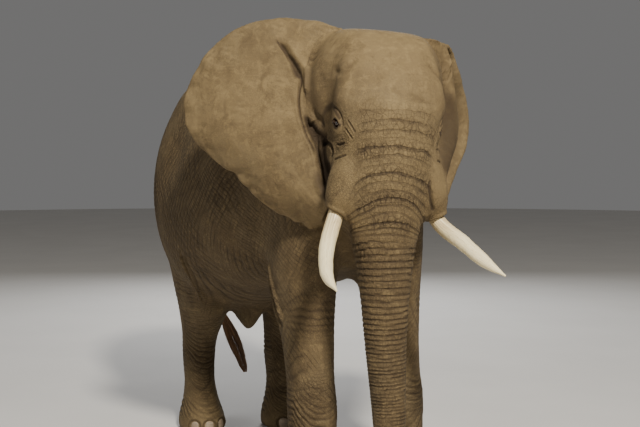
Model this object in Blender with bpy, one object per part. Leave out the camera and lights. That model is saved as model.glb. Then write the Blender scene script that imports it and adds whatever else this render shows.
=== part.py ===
"""African elephant bull standing with one forefoot a little ahead, life size, as solid parts.

The animal faces -Y, its right side is -X and +Z is up. The soles are at Z = 0.
"""

import math

import bmesh
import bpy
import numpy as np
from mathutils import Matrix, Vector

# ---------------------------------------------------------------- driving sizes, metres
SHIFT_X = 0.1200
SHIFT_Y = 0.3875
GAP = 0.0003
RIM_STEP = 0.03
VOXEL = 0.026
FIRST_TRIANGLES = 9200
FLESH_TRIANGLES = 4400
RING = 40

# torso and neck: name, y, lowest z, highest z, half width, z of the widest level, x of the middle
TORSO = (
    ("nape", -1.86, 2.12, 3.08, 0.33, 2.55, -0.17),
    ("neck", -1.66, 1.98, 3.13, 0.38, 2.55, -0.11),
    ("throat", -1.45, 1.82, 3.16, 0.42, 2.45, -0.05),
    ("brisket", -1.22, 1.63, 3.19, 0.48, 2.32, 0.0),
    ("withers", -0.92, 1.53, 3.21, 0.59, 2.18, 0.0),
    ("heart girth", -0.50, 1.42, 3.13, 0.73, 2.06, 0.0),
    ("saddle", -0.05, 1.31, 3.03, 0.81, 1.98, 0.0),
    ("paunch", 0.38, 1.20, 3.03, 0.83, 1.95, 0.0),
    ("loin", 0.80, 1.07, 3.09, 0.80, 2.00, 0.0),
    ("hips", 1.12, 1.09, 3.07, 0.75, 2.05, 0.0),
    ("rump", 1.36, 1.32, 2.92, 0.65, 2.05, 0.0),
    ("seat", 1.52, 1.62, 2.70, 0.50, 2.10, 0.0),
    ("dock", 1.61, 1.92, 2.46, 0.27, 2.15, 0.0),
)
TORSO_STEPS = 46

# head in its own frame: middle between the ears, at eye level
HEAD_X = -0.186
HEAD_Y = -1.615
HEAD_Z = 2.58
HEAD_YAW = math.radians(16.0)
HEAD_ROLL = math.radians(4.0)

# face: name, z, x middle, y of the front, y of the back, half width, fullness
FACE = (
    ("crown", 0.605, 0.0, -0.06, 0.24, 0.25, 2.1),
    ("upper brow", 0.545, 0.0, -0.19, 0.31, 0.335, 2.3),
    ("brow", 0.40, 0.0, -0.33, 0.36, 0.37, 2.4),
    ("temple", 0.22, 0.0, -0.43, 0.38, 0.385, 2.5),
    ("eye", 0.0, 0.0, -0.50, 0.36, 0.365, 2.4),
    ("cheek", -0.18, 0.0, -0.545, 0.28, 0.325, 2.1),
    ("tusk root", -0.34, 0.0, -0.56, 0.16, 0.290, 2.0),
    ("tusk lip", -0.50, 0.0, -0.555, 0.02, 0.245, 2.0),
    ("trunk root", -0.64, 0.0, -0.545, -0.13, 0.222, 2.0),
    ("trunk fold", -0.78, 0.0, -0.53, -0.16, 0.192, 2.0),
)
FACE_STEPS = 36

# trunk below the root: name, z, x middle, y middle, half width, half depth
TRUNK = (
    ("fold", -0.72, 0.004, -0.345, 0.200, 0.192),
    ("first", -0.92, 0.020, -0.355, 0.172, 0.168),
    ("second", -1.16, 0.038, -0.36, 0.147, 0.147),
    ("third", -1.50, 0.072, -0.365, 0.124, 0.126),
    ("fourth", -1.80, 0.108, -0.375, 0.108, 0.108),
    ("fifth", -2.06, 0.130, -0.40, 0.092, 0.090),
    ("sixth", -2.24, 0.138, -0.47, 0.078, 0.072),
    ("tip", -2.32, 0.140, -0.58, 0.070, 0.058),
)
TRUNK_STEPS = 44
FINGER_RADII = (0.034, 0.05, 0.03)

# masses of the head, one side: name, x, y, z, half sizes
HEAD_MASSES = (
    ("cheek", 0.27, -0.16, -0.13, 0.10, 0.20, 0.20),
    ("jaw angle", 0.17, 0.12, -0.40, 0.15, 0.24, 0.26),
)
JAW_MIDDLE = (0.0, 0.07, -0.58)
JAW_RADII = (0.170, 0.26, 0.215)
LIP_MIDDLE = (0.0, -0.03, -0.755)
LIP_RADII = (0.075, 0.115, 0.075)

# tusk sheath and tusk paths, one side: x, y, z, radius
SHEATH = (
    ("socket", 0.16, -0.26, -0.08, 0.135),
    ("upper", 0.205, -0.30, -0.24, 0.140),
    ("middle", 0.255, -0.315, -0.38, 0.132),
    ("lip", 0.318, -0.315, -0.55, 0.088),
)
SHEATH_LEAN = 0.014
TUSK_RIGHT = (
    ("root", -0.245, -0.29, -0.38, 0.046),
    ("lip", -0.306, -0.315, -0.59, 0.049),
    ("middle", -0.396, -0.53, -0.83, 0.045),
    ("fore", -0.410, -0.69, -0.935, 0.034),
    ("tip", -0.388, -0.83, -0.990, 0.006),
)
TUSK_LEFT = (
    ("root", 0.275, -0.26, -0.40, 0.046),
    ("lip", 0.347, -0.305, -0.572, 0.049),
    ("middle", 0.474, -0.51, -0.710, 0.046),
    ("fore", 0.558, -0.66, -0.800, 0.036),
    ("tip", 0.632, -0.79, -0.862, 0.006),
)
TUSK_STEPS = 9
TUSK_SIDES = 10

# eyeball in the head frame
EYE = (0.314, -0.2715, -0.02)
EYE_RADIUS = 0.028

# ear, one side: name, root x, y, z, then the rim outward, its z spread and its z folded back
EAR = (
    ("top", 0.20, 0.17, 0.60, 0.44, 0.655, 0.600),
    ("crest", 0.31, 0.17, 0.54, 0.71, 0.660, 0.565),
    ("upper corner", 0.36, 0.16, 0.44, 0.93, 0.605, 0.40),
    ("shoulder", 0.385, 0.14, 0.33, 1.11, 0.475, 0.275),
    ("outer", 0.39, 0.11, 0.21, 1.24, 0.285, 0.16),
    ("widest", 0.39, 0.08, 0.08, 1.305, 0.05, 0.04),
    ("lower corner", 0.38, 0.04, -0.04, 1.225, -0.17, -0.12),
    ("skirt", 0.365, 0.02, -0.15, 1.02, -0.32, -0.27),
    ("notch", 0.35, 0.0, -0.24, 0.88, -0.41, -0.39),
    ("lobe", 0.335, -0.02, -0.32, 0.74, -0.555, -0.51),
    ("low lobe", 0.32, -0.04, -0.39, 0.58, -0.625, -0.58),
    ("point", 0.30, -0.07, -0.45, 0.42, -0.68, -0.63),
    ("jaw", 0.28, -0.09, -0.50, 0.31, -0.665, -0.61),
)
EAR_STEPS = 15
EAR_BANDS = 5
EAR_HINGE = 0.42
EAR_THICK_ROOT = 0.034
EAR_THICK_RIM = 0.014
SPREAD_RIGHT = math.radians(68.0)
SPREAD_LEFT = math.radians(36.5)
LIFT_RIGHT = 0.03
LIFT_LEFT = 0.05
CURL_RIGHT = 0.10
CURL_LEFT = 0.05
RIM_RIGHT = 5
RIM_LEFT = 6

# legs: z, half width, half depth, step forward of the middle from the foot
FORELEG = (
    ("sole", -0.05, 0.210, 0.230, 0.02),
    ("toes", 0.05, 0.222, 0.245, 0.03),
    ("foot", 0.15, 0.210, 0.230, 0.02),
    ("pastern", 0.28, 0.178, 0.190, 0.0),
    ("cannon", 0.42, 0.161, 0.170, 0.0),
    ("wrist", 0.58, 0.170, 0.182, 0.01),
    ("forearm", 0.80, 0.161, 0.180, 0.0),
    ("mid forearm", 1.05, 0.166, 0.205, -0.02),
    ("elbow", 1.32, 0.185, 0.260, -0.05),
    ("upper arm", 1.60, 0.200, 0.330, -0.06),
    ("shoulder", 1.95, 0.195, 0.380, -0.04),
    ("blade", 2.35, 0.170, 0.340, -0.02),
    ("blade top", 2.70, 0.110, 0.220, 0.0),
)
HINDLEG = (
    ("sole", -0.05, 0.188, 0.225, 0.02),
    ("toes", 0.05, 0.200, 0.240, 0.03),
    ("foot", 0.14, 0.188, 0.220, 0.02),
    ("pastern", 0.26, 0.152, 0.170, 0.0),
    ("cannon", 0.42, 0.130, 0.145, -0.02),
    ("hock", 0.58, 0.130, 0.165, -0.05),
    ("gaskin", 0.78, 0.140, 0.185, -0.02),
    ("knee", 1.02, 0.180, 0.285, 0.06),
    ("low thigh", 1.28, 0.225, 0.400, 0.08),
    ("thigh", 1.60, 0.265, 0.500, 0.06),
    ("high thigh", 1.95, 0.265, 0.520, 0.02),
    ("hip", 2.30, 0.220, 0.420, -0.02),
    ("hip top", 2.60, 0.120, 0.220, -0.02),
)
LEG_STEPS = 40

# foot middles and the top of each leg: x, y, x of the top, y of the top
FRONT_RIGHT = (-0.385, -1.12, -0.40, -0.98)
FRONT_LEFT = (0.390, -1.04, 0.26, -0.98)
HIND_RIGHT = (-0.345, 1.10, -0.38, 1.02)
HIND_LEFT = (0.335, 0.86, 0.38, 0.98)

# tail: name, x, y, z, half width, half depth
TAIL = (
    ("root", 0.0, 1.42, 2.50, 0.085, 0.075),
    ("dock", 0.0, 1.60, 2.36, 0.070, 0.060),
    ("upper", 0.0, 1.70, 2.05, 0.050, 0.045),
    ("middle", 0.01, 1.72, 1.60, 0.038, 0.034),
    ("lower", 0.04, 1.70, 1.20, 0.030, 0.026),
    ("end", 0.09, 1.67, 0.94, 0.026, 0.020),
)
TUFT = (
    ("top", 0.09, 1.67, 0.939, 0.024, 0.018),
    ("upper", 0.145, 1.66, 0.80, 0.055, 0.026),
    ("middle", 0.215, 1.645, 0.62, 0.070, 0.026),
    ("lower", 0.275, 1.63, 0.45, 0.048, 0.018),
    ("tip", 0.315, 1.62, 0.32, 0.010, 0.006),
)

# shaping of the flesh: name, x, y, z, reach x, y, z, push x, y, z
BODY_PUSHES = (
    ("sheath", 0.0, 0.84, 1.06, 0.10, 0.17, 0.13, 0.0, 0.0, -0.20),
    ("hip bone right", -0.46, 0.92, 2.90, 0.20, 0.24, 0.20, -0.03, 0.0, 0.05),
    ("hip bone left", 0.46, 0.92, 2.90, 0.20, 0.24, 0.20, 0.03, 0.0, 0.05),
    ("flank right", -0.78, 0.58, 2.45, 0.30, 0.20, 0.30, 0.06, 0.0, 0.0),
    ("flank left", 0.78, 0.58, 2.45, 0.30, 0.20, 0.30, -0.06, 0.0, 0.0),
    ("behind shoulder right", -0.70, -0.52, 2.35, 0.25, 0.14, 0.45, 0.05, 0.0, 0.0),
    ("behind shoulder left", 0.70, -0.52, 2.35, 0.25, 0.14, 0.45, -0.05, 0.0, 0.0),
    ("blade right", -0.56, -0.92, 2.45, 0.2, 0.16, 0.4, -0.03, 0.0, 0.0),
    ("blade left", 0.56, -0.92, 2.45, 0.2, 0.16, 0.4, 0.03, 0.0, 0.0),
    ("elbow right", -0.42, -0.72, 1.38, 0.16, 0.14, 0.16, 0.0, 0.06, -0.03),
    ("elbow left", 0.38, -0.72, 1.38, 0.16, 0.14, 0.16, 0.0, 0.06, -0.03),
    ("stifle right", -0.50, 0.66, 1.30, 0.16, 0.16, 0.18, -0.02, -0.04, 0.0),
    ("stifle left", 0.50, 0.52, 1.30, 0.16, 0.16, 0.18, 0.02, -0.04, 0.0),
)
HEAD_PUSHES = (
    ("temple", 0.37, -0.10, 0.20, 0.10, 0.13, 0.15, -0.060, 0.0, 0.0),
    ("above eye", 0.33, -0.32, 0.12, 0.07, 0.07, 0.06, 0.022, -0.018, 0.01),
    ("eye hollow", 0.36, -0.33, 0.0, 0.06, 0.09, 0.065, -0.012, 0.012, 0.0),
    ("below eye", 0.33, -0.27, -0.17, 0.07, 0.10, 0.09, -0.028, 0.016, 0.0),
    ("behind eye", 0.38, -0.12, -0.06, 0.08, 0.10, 0.16, -0.028, 0.0, 0.0),
    ("brow rim", 0.30, -0.34, 0.26, 0.08, 0.10, 0.12, 0.012, -0.014, 0.0),
)
NOSE_BOSS = (0.0, -0.50, 0.16, 0.20, 0.12, 0.20, -0.035)

# toenails: angle from the front, outward positive
FRONT_NAILS = (-42.0, -8.0, 26.0, 60.0)
HIND_NAILS = (-30.0, 6.0, 42.0)
NAIL_RADII = (0.050, 0.030, 0.048)
NAIL_HEIGHT = 0.062


# ---------------------------------------------------------------- small tools
def clear():
    """Remove what the file opened with."""
    for item in list(bpy.data.objects):
        bpy.data.objects.remove(item, do_unlink=True)


def spread(table, columns, steps):
    """Smooth the named stations of a table into evenly spaced rows."""
    rows = np.array([[row[i] for i in columns] for row in table], dtype=float)
    count = len(rows)
    length = np.zeros(count)
    length[1:] = np.cumsum(np.linalg.norm(np.diff(rows[:, :3], axis=0), axis=1))
    slope = np.gradient(rows, length, axis=0)
    out = []
    for value in np.linspace(0.0, length[-1], steps):
        i = min(int(np.searchsorted(length, value, side="right")) - 1, count - 2)
        width = length[i + 1] - length[i]
        t = (value - length[i]) / width
        a = 2 * t**3 - 3 * t**2 + 1
        b = t**3 - 2 * t**2 + t
        c = 3 * t**2 - 2 * t**3
        d = t**3 - t**2
        row = a * rows[i] + b * width * slope[i] + c * rows[i + 1] + d * width * slope[i + 1]
        out.append(row)
    return np.array(out)


def oval(middle, side, front, half_side, reach_front, reach_back, fullness, sides=RING):
    """One ring of points round the middle."""
    points = []
    for k in range(sides):
        angle = 2.0 * math.pi * k / sides
        c = math.copysign(abs(math.cos(angle)) ** (2.0 / fullness), math.cos(angle))
        s = math.copysign(abs(math.sin(angle)) ** (2.0 / fullness), math.sin(angle))
        reach = reach_front if s >= 0 else reach_back
        points.append(Vector(middle) + Vector(side) * (half_side * c) + Vector(front) * (reach * s))
    return points


def loft(name, rings):
    """A closed skin through the rings, with a domed point at both ends."""
    bm = bmesh.new()
    sides = len(rings[0])
    loops = [[bm.verts.new(p) for p in ring] for ring in rings]
    for low, high in zip(loops, loops[1:]):
        for k in range(sides):
            m = (k + 1) % sides
            bm.faces.new((low[k], low[m], high[m], high[k]))
    for loop in (loops[0], loops[-1]):
        middle = sum((v.co for v in loop), Vector()) / sides
        tip = bm.verts.new(middle)
        for k in range(sides):
            bm.faces.new((loop[k], loop[(k + 1) % sides], tip))
    bmesh.ops.recalc_face_normals(bm, faces=bm.faces)
    return place(name, bm)


def place(name, bm):
    """Put a bmesh into the scene, in flat triangles."""
    bmesh.ops.triangulate(bm, faces=bm.faces)
    mesh = bpy.data.meshes.new(name)
    bm.to_mesh(mesh)
    bm.free()
    item = bpy.data.objects.new(name, mesh)
    bpy.context.scene.collection.objects.link(item)
    return item


def ball(name, middle, radii, turn=None, detail=3):
    """An ellipsoid."""
    bm = bmesh.new()
    bmesh.ops.create_icosphere(bm, subdivisions=detail, radius=1.0)
    bmesh.ops.scale(bm, vec=Vector(radii), verts=bm.verts)
    if turn is not None:
        bmesh.ops.transform(bm, matrix=turn, verts=bm.verts)
    bmesh.ops.translate(bm, vec=Vector(middle), verts=bm.verts)
    return place(name, bm)


def apply(item, kind, **settings):
    """Add a modifier and make it permanent."""
    modifier = item.modifiers.new(kind.lower(), kind)
    for key, value in settings.items():
        setattr(modifier, key, value)
    graph = bpy.context.evaluated_depsgraph_get()
    mesh = bpy.data.meshes.new_from_object(item.evaluated_get(graph))
    item.modifiers.clear()
    old = item.data
    item.data = mesh
    bpy.data.meshes.remove(old)
    return item


def join(name, items):
    """Gather several objects into one mesh."""
    bm = bmesh.new()
    for item in items:
        bm.from_mesh(item.data)
        bpy.data.objects.remove(item, do_unlink=True)
    return place(name, bm)


# ---------------------------------------------------------------- the head's own frame
def head_matrix():
    """Head frame to the animal's frame."""
    turn = Matrix.Rotation(-HEAD_YAW, 4, "Z")
    roll = Matrix.Rotation(HEAD_ROLL, 4, "Y")
    return Matrix.Translation((HEAD_X, HEAD_Y, HEAD_Z)) @ turn @ roll


def set_on_head(item):
    """Move an object built in the head's frame onto the animal."""
    item.data.transform(head_matrix())
    return item


# ---------------------------------------------------------------- flesh
def torso():
    rows = spread(TORSO, (1, 2, 3, 4, 5, 6), TORSO_STEPS)
    rings = []
    for y, low, high, half, level, x in rows:
        rings.append(oval((x, y, level), (1, 0, 0), (0, 0, 1), half, high - level, level - low, 2.15))
    return loft("torso", rings)


def face():
    rows = spread(FACE, (1, 2, 3, 4, 5, 6), FACE_STEPS)
    rings = []
    for z, x, front, back, half, fullness in rows:
        middle = 0.55 * front + 0.45 * back
        reach = middle - front
        behind = back - middle
        rings.append(oval((x, middle, z), (1, 0, 0), (0, -1, 0), half, reach, behind, fullness))
    return set_on_head(loft("face", rings))


def tube(name, table, steps, sides=RING, fullness=2.0):
    """A bent tube through named middles, given half width and half depth."""
    wide = len(table[0]) > 5
    columns = (1, 2, 3, 4, 5) if wide else (1, 2, 3, 4, 4)
    rows = spread(table, columns, steps)
    points = [Vector(row[:3]) for row in rows]
    rings = []
    for i, row in enumerate(rows):
        ahead = points[min(i + 1, len(points) - 1)]
        behind = points[max(i - 1, 0)]
        along = (ahead - behind).normalized()
        front = Vector((0, -1, 0)) - along * along.dot(Vector((0, -1, 0)))
        front = front.normalized()
        side = along.cross(front).normalized()
        rings.append(oval(points[i], side, front, row[3], row[4], row[4], fullness, sides))
    return loft(name, rings)


def trunk():
    table = tuple((n, x, y, z, half, depth) for n, z, x, y, half, depth in TRUNK)
    items = [tube("trunk", table, TRUNK_STEPS)]
    n, z, x, y, half, depth = TRUNK[-1]
    items.append(ball("upper finger", (x, y - 0.035, z + 0.028), FINGER_RADII))
    items.append(ball("lower finger", (x, y - 0.02, z - 0.035), FINGER_RADII))
    return [set_on_head(item) for item in items]


def head_masses():
    items = []
    for side in (-1.0, 1.0):
        for name, x, y, z, rx, ry, rz in HEAD_MASSES:
            items.append(ball(name, (side * x, y, z), (rx, ry, rz)))
        table = tuple((n, side * x + SHEATH_LEAN, y, z, r) for n, x, y, z, r in SHEATH)
        items.append(tube("sheath", table, 14))
    items.append(ball("jaw", JAW_MIDDLE, JAW_RADII))
    items.append(ball("lip", LIP_MIDDLE, LIP_RADII))
    return [set_on_head(item) for item in items]


def leg(name, table, stance):
    x, y, top_x, top_y = stance
    rows = spread(table, (1, 2, 3, 4), LEG_STEPS)
    top = rows[-1][0]
    rings = []
    for z, half, depth, step in rows:
        t = max(z, 0.0) / top
        middle = (x + (top_x - x) * t, y + (top_y - y) * t - step, z)
        rings.append(oval(middle, (1, 0, 0), (0, -1, 0), half, depth, depth, 2.1))
    return loft(name, rings)


def nudge(points, middle, reach, push):
    """A soft local push of many points."""
    offset = (points - np.array(middle)) / np.array(reach)
    weight = np.exp(-np.sum(offset * offset, axis=1))
    return points + weight[:, None] * np.array(push)


def shape_flesh(whole):
    mesh = whole.data
    points = np.empty(len(mesh.vertices) * 3)
    mesh.vertices.foreach_get("co", points)
    points = points.reshape(-1, 3)
    for name, x, y, z, rx, ry, rz, px, py, pz in BODY_PUSHES:
        points = nudge(points, (x, y, z), (rx, ry, rz), (px, py, pz))
    frame = np.array(head_matrix())
    local = (points - frame[:3, 3]) @ frame[:3, :3]
    for name, x, y, z, rx, ry, rz, px, py, pz in HEAD_PUSHES:
        for side in (-1.0, 1.0):
            local = nudge(local, (side * x, y, z), (rx, ry, rz), (side * px, py, pz))
    x, y, z, rx, ry, rz, push = NOSE_BOSS
    local = nudge(local, (x, y, z), (rx, ry, rz), (0.0, push, 0.0))
    points = local @ frame[:3, :3].T + frame[:3, 3]
    mesh.vertices.foreach_set("co", points.ravel())
    mesh.update()


def flesh():
    items = [torso(), face()]
    items.extend(trunk())
    items.extend(head_masses())
    items.append(leg("front right", FORELEG, FRONT_RIGHT))
    items.append(leg("front left", FORELEG, FRONT_LEFT))
    items.append(leg("hind right", HINDLEG, HIND_RIGHT))
    items.append(leg("hind left", HINDLEG, HIND_LEFT))
    whole = join("flesh", items)
    apply(whole, "REMESH", mode="VOXEL", voxel_size=VOXEL, adaptivity=0.0)
    apply(whole, "SMOOTH", factor=0.5, iterations=8)
    shape_flesh(whole)
    return whole


# ---------------------------------------------------------------- ears
def ear_point(row, side, spread_angle, across, lift, curl):
    """A point of the ear's middle sheet, across from the root (0) to the rim (1)."""
    root_x, root_y, root_z, out, rim_z = row
    reach = out - EAR_HINGE
    rim_x = EAR_HINGE + reach * math.sin(spread_angle)
    rim_y = 0.12 + reach * math.cos(spread_angle)
    rim = Vector((rim_x, rim_y, rim_z))
    point = Vector((root_x, root_y, root_z)).lerp(rim, across)
    normal = ear_normal(1.0, spread_angle)
    inner = min(max(across, 0.0), 1.0)
    point += normal * (lift * math.sin(math.pi * inner) - curl * inner**2.5)
    return Vector((side * point.x, point.y, point.z))


def ear_normal(side, spread_angle):
    """Forward across the ear's sheet."""
    return Vector((side * math.cos(spread_angle), -math.sin(spread_angle), 0.0))


def ear(name, side, spread_angle, lift, curl, rim):
    rows = spread(EAR, (1, 2, 3, 4, rim), EAR_STEPS)
    normal = ear_normal(side, spread_angle)
    inside = -0.30
    bm = bmesh.new()
    front = []
    back = []
    for row in rows:
        line_front = []
        line_back = []
        for j in range(EAR_BANDS + 1):
            across = inside + (1.0 - inside) * j / EAR_BANDS
            point = ear_point(row, side, spread_angle, across, lift, curl)
            t = min(1.6 * max(across, 0.0), 1.0)
            thick = EAR_THICK_ROOT + (EAR_THICK_RIM - EAR_THICK_ROOT) * t
            line_front.append(bm.verts.new(point + normal * (0.5 * thick)))
            line_back.append(bm.verts.new(point - normal * (0.5 * thick)))
        front.append(line_front)
        back.append(line_back)
    for i in range(EAR_STEPS - 1):
        for j in range(EAR_BANDS):
            bm.faces.new((front[i][j], front[i + 1][j], front[i + 1][j + 1], front[i][j + 1]))
            bm.faces.new((back[i][j], back[i][j + 1], back[i + 1][j + 1], back[i + 1][j]))
        for j in (0, EAR_BANDS):
            bm.faces.new((front[i][j], back[i][j], back[i + 1][j], front[i + 1][j]))
    for i in (0, EAR_STEPS - 1):
        for j in range(EAR_BANDS):
            bm.faces.new((front[i][j], front[i][j + 1], back[i][j + 1], back[i][j]))
    bmesh.ops.triangulate(bm, faces=bm.faces)
    bmesh.ops.recalc_face_normals(bm, faces=bm.faces)
    return set_on_head(place(name, bm))


# ---------------------------------------------------------------- cutting into named parts
def grown(item, amount):
    """A copy with its surface moved out along the normals."""
    bm = bmesh.new()
    bm.from_mesh(item.data)
    bm.normal_update()
    moves = [v.normal * (amount * v.calc_shell_factor()) for v in bm.verts]
    for vert, move in zip(bm.verts, moves):
        vert.co += move
    return place(item.name + " cutter", bm)


def box(name, low, high, frame=None):
    """A box between two corners."""
    bm = bmesh.new()
    bmesh.ops.create_cube(bm, size=1.0)
    size = [b - a for a, b in zip(low, high)]
    bmesh.ops.scale(bm, vec=Vector(size), verts=bm.verts)
    bmesh.ops.translate(bm, vec=(Vector(low) + Vector(high)) * 0.5, verts=bm.verts)
    if frame is not None:
        bmesh.ops.transform(bm, matrix=frame, verts=bm.verts)
    return place(name, bm)


def wedge(name, side, inner, outer, front, back, low_inner, low_outer, grow=0.0):
    """A leg's block: flat sides and a top that climbs outward."""
    bm = bmesh.new()
    corners = []
    for x, top in ((inner - grow, low_inner + grow), (outer + grow, low_outer + grow)):
        for y in (front - grow, back + grow):
            for z in (-0.3, top):
                corners.append(bm.verts.new((side * x, y, z)))
    for face in ((0, 1, 3, 2), (4, 6, 7, 5), (0, 4, 5, 1), (2, 3, 7, 6), (0, 2, 6, 4), (1, 5, 7, 3)):
        bm.faces.new([corners[i] for i in face])
    bmesh.ops.recalc_face_normals(bm, faces=bm.faces)
    return place(name, bm)


def boolean(item, cutter, operation, keep_cutter=False):
    """Exact Boolean, made permanent."""
    apply(item, "BOOLEAN", operation=operation, object=cutter, solver="EXACT")
    if not keep_cutter:
        bpy.data.objects.remove(cutter, do_unlink=True)
    return item


def copy(item, name):
    """A second object with its own mesh."""
    twin = bpy.data.objects.new(name, item.data.copy())
    bpy.context.scene.collection.objects.link(twin)
    return twin


def slice_off(item, point, normal, name):
    """Part an object with a thin plane cut; the new part is on the normal's side."""
    normal = Vector(normal).normalized()
    twin = copy(item, name)
    for target, sign in ((item, -1.0), (twin, 1.0)):
        bm = bmesh.new()
        bm.from_mesh(target.data)
        spot = Vector(point) + normal * (sign * GAP * 0.5)
        geometry = list(bm.verts) + list(bm.edges) + list(bm.faces)
        cut = bmesh.ops.bisect_plane(
            bm,
            geom=geometry,
            dist=0.00001,
            plane_co=spot,
            plane_no=normal,
            clear_outer=sign < 0,
            clear_inner=sign > 0,
        )
        corners = [v for v in cut["geom_cut"] if isinstance(v, bmesh.types.BMVert) and v.is_valid]
        bmesh.ops.remove_doubles(bm, verts=corners, dist=RIM_STEP)
        rims = [e for e in bm.edges if e.is_boundary]
        bmesh.ops.holes_fill(bm, edges=rims, sides=0)
        bmesh.ops.triangulate(bm, faces=bm.faces)
        bmesh.ops.recalc_face_normals(bm, faces=bm.faces)
        bm.to_mesh(target.data)
        bm.free()
    return twin


def head_point(x, y, z):
    return head_matrix() @ Vector((x, y, z))


def head_axis(x, y, z):
    return head_matrix().to_3x3() @ Vector((x, y, z))


def carve_head(whole):
    """Head, neck, jaw and trunk lengths."""
    whole.name = "torso"
    head = slice_off(whole, head_point(0.0, 0.30, 0.0), head_axis(0.0, -1.0, 0.12), "head")
    neck = slice_off(whole, (0.0, -1.12, 2.30), (0.0, -1.0, 0.45), "neck")
    frame = head_matrix()
    jaw = copy(head, "lower_jaw")
    boolean(jaw, box("jaw block", (-0.175, -0.16, -1.0), (0.175, 0.60, -0.56), frame), "INTERSECT")
    g = GAP
    block = box("jaw room", (-0.175 - g, -0.16 - g, -1.1), (0.175 + g, 0.70, -0.56 + g), frame)
    boolean(head, block, "DIFFERENCE")
    upper = slice_off(head, head_point(0.0, -0.33, -0.69), head_axis(0.0, -0.25, -1.0), "trunk_upper")
    middle = slice_off(upper, head_point(0.0, 0.0, -1.14), head_axis(0.0, 0.0, -1.0), "trunk_middle")
    lower = slice_off(middle, head_point(0.0, 0.0, -1.64), head_axis(0.0, 0.0, -1.0), "trunk_lower")
    tip = slice_off(lower, head_point(0.0, -0.40, -2.10), head_axis(0.0, -0.35, -1.0), "trunk_tip")
    return [whole, neck, head, jaw, upper, middle, lower, tip]


LEG_BLOCKS = (
    ("leg_front_right", -1.0, 0.05, 0.95, -1.60, -0.56, 1.44, 1.98, 1.32, 0.26),
    ("leg_front_left", 1.0, 0.05, 0.95, -1.60, -0.56, 1.44, 1.98, 1.32, 0.26),
    ("leg_hind_right", -1.0, 0.125, 1.00, 0.44, 1.95, 1.16, 1.80, 0.94, 0.25),
    ("leg_hind_left", 1.0, 0.125, 1.00, 0.30, 1.95, 1.16, 1.80, 0.94, 0.25),
)


def carve_legs(trunk_of_body):
    """Each leg: upper part, lower part and foot."""
    parts = []
    for name, side, inner, outer, front, back, low, high, knee, ankle in LEG_BLOCKS:
        upper = copy(trunk_of_body, name + "_upper")
        boolean(upper, wedge("block", side, inner, outer, front, back, low, high), "INTERSECT")
        room = wedge("room", side, inner, outer, front, back, low, high, GAP)
        boolean(trunk_of_body, room, "DIFFERENCE")
        lower = slice_off(upper, (0.0, 0.0, knee), (0.0, 0.0, -1.0), name + "_lower")
        foot = slice_off(lower, (0.0, 0.0, ankle), (0.0, 0.0, -1.0), name.replace("leg", "foot"))
        parts.extend([upper, lower, foot])
    return parts


def trim_soles(whole):
    """Cut the feet flat at the floor."""
    below = slice_off(whole, (0.0, 0.0, -GAP * 0.5), (0.0, 0.0, -1.0), "below")
    bpy.data.objects.remove(below, do_unlink=True)


def thin_out(whole):
    """Fewer triangles: evenly at first, then only behind the head."""
    count = len(whole.data.polygons) * 2
    apply(whole, "DECIMATE", ratio=FIRST_TRIANGLES / count, use_collapse_triangulate=True)
    group = whole.vertex_groups.new(name="coarse")
    frame = head_matrix().inverted()
    for vert in whole.data.vertices:
        local = frame @ vert.co
        on_head = local.y < 0.22 and local.z > -0.85
        group.add([vert.index], 0.0 if on_head else 1.0, "REPLACE")
    ratio = FLESH_TRIANGLES / len(whole.data.polygons)
    apply(whole, "DECIMATE", ratio=ratio, vertex_group="coarse", use_collapse_triangulate=True)


# ---------------------------------------------------------------- tusks, eyes, nails, tail
def tusk(name, table):
    return set_on_head(tube(name, table, TUSK_STEPS, TUSK_SIDES))


def eye(name, side):
    x, y, z = EYE
    radii = (EYE_RADIUS, EYE_RADIUS, EYE_RADIUS)
    return set_on_head(ball(name, (side * x, y, z), radii, None, 2))


def nails(foot, table, middle, angles, side, half, depth):
    """Rounded nails standing off the front of a foot."""
    x, y = middle
    made = []
    for index, angle in enumerate(angles):
        a = math.radians(angle) * side
        spot = Vector((x + half * math.sin(a), y - depth * math.cos(a), NAIL_HEIGHT))
        outward = Vector((math.sin(a) / half, -math.cos(a) / depth, 0.0)).normalized()
        turn = outward.to_track_quat("-Y", "Z").to_matrix().to_4x4()
        name = foot.name.replace("foot", "nail") + "_" + str(index + 1)
        nail = ball(name, spot, NAIL_RADII, turn, 1)
        boolean(nail, grown(foot, GAP), "DIFFERENCE")
        made.append(nail)
    return made


SKIN = (0.235, 0.19, 0.145, 1.0)
SKIN_DARK = (0.19, 0.155, 0.12, 1.0)
IVORY = (0.78, 0.70, 0.53, 1.0)
NAIL = (0.42, 0.35, 0.26, 1.0)
EYE_BROWN = (0.035, 0.02, 0.012, 1.0)
HAIR = (0.05, 0.032, 0.022, 1.0)


def finish(item, colour, roughness):
    """One plain material for each part."""
    material = bpy.data.materials.new(item.name)
    material.use_nodes = True
    shader = material.node_tree.nodes["Principled BSDF"]
    shader.inputs["Base Color"].default_value = colour
    shader.inputs["Roughness"].default_value = roughness
    shader.inputs["Metallic"].default_value = 0.0
    item.data.materials.clear()
    item.data.materials.append(material)
    item.data.shade_smooth()
    item.data.set_sharp_from_angle(angle=math.radians(50.0))


def tidy(item):
    """Weld doubled corners, drop slivers and turn the faces out."""
    bm = bmesh.new()
    bm.from_mesh(item.data)
    bmesh.ops.remove_doubles(bm, verts=bm.verts, dist=0.0001)
    bmesh.ops.dissolve_degenerate(bm, edges=bm.edges, dist=0.0001)
    bmesh.ops.triangulate(bm, faces=bm.faces)
    bmesh.ops.recalc_face_normals(bm, faces=bm.faces)
    bmesh.ops.translate(bm, vec=Vector((SHIFT_X, SHIFT_Y, 0.0)), verts=bm.verts)
    bm.to_mesh(item.data)
    bm.free()


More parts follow.
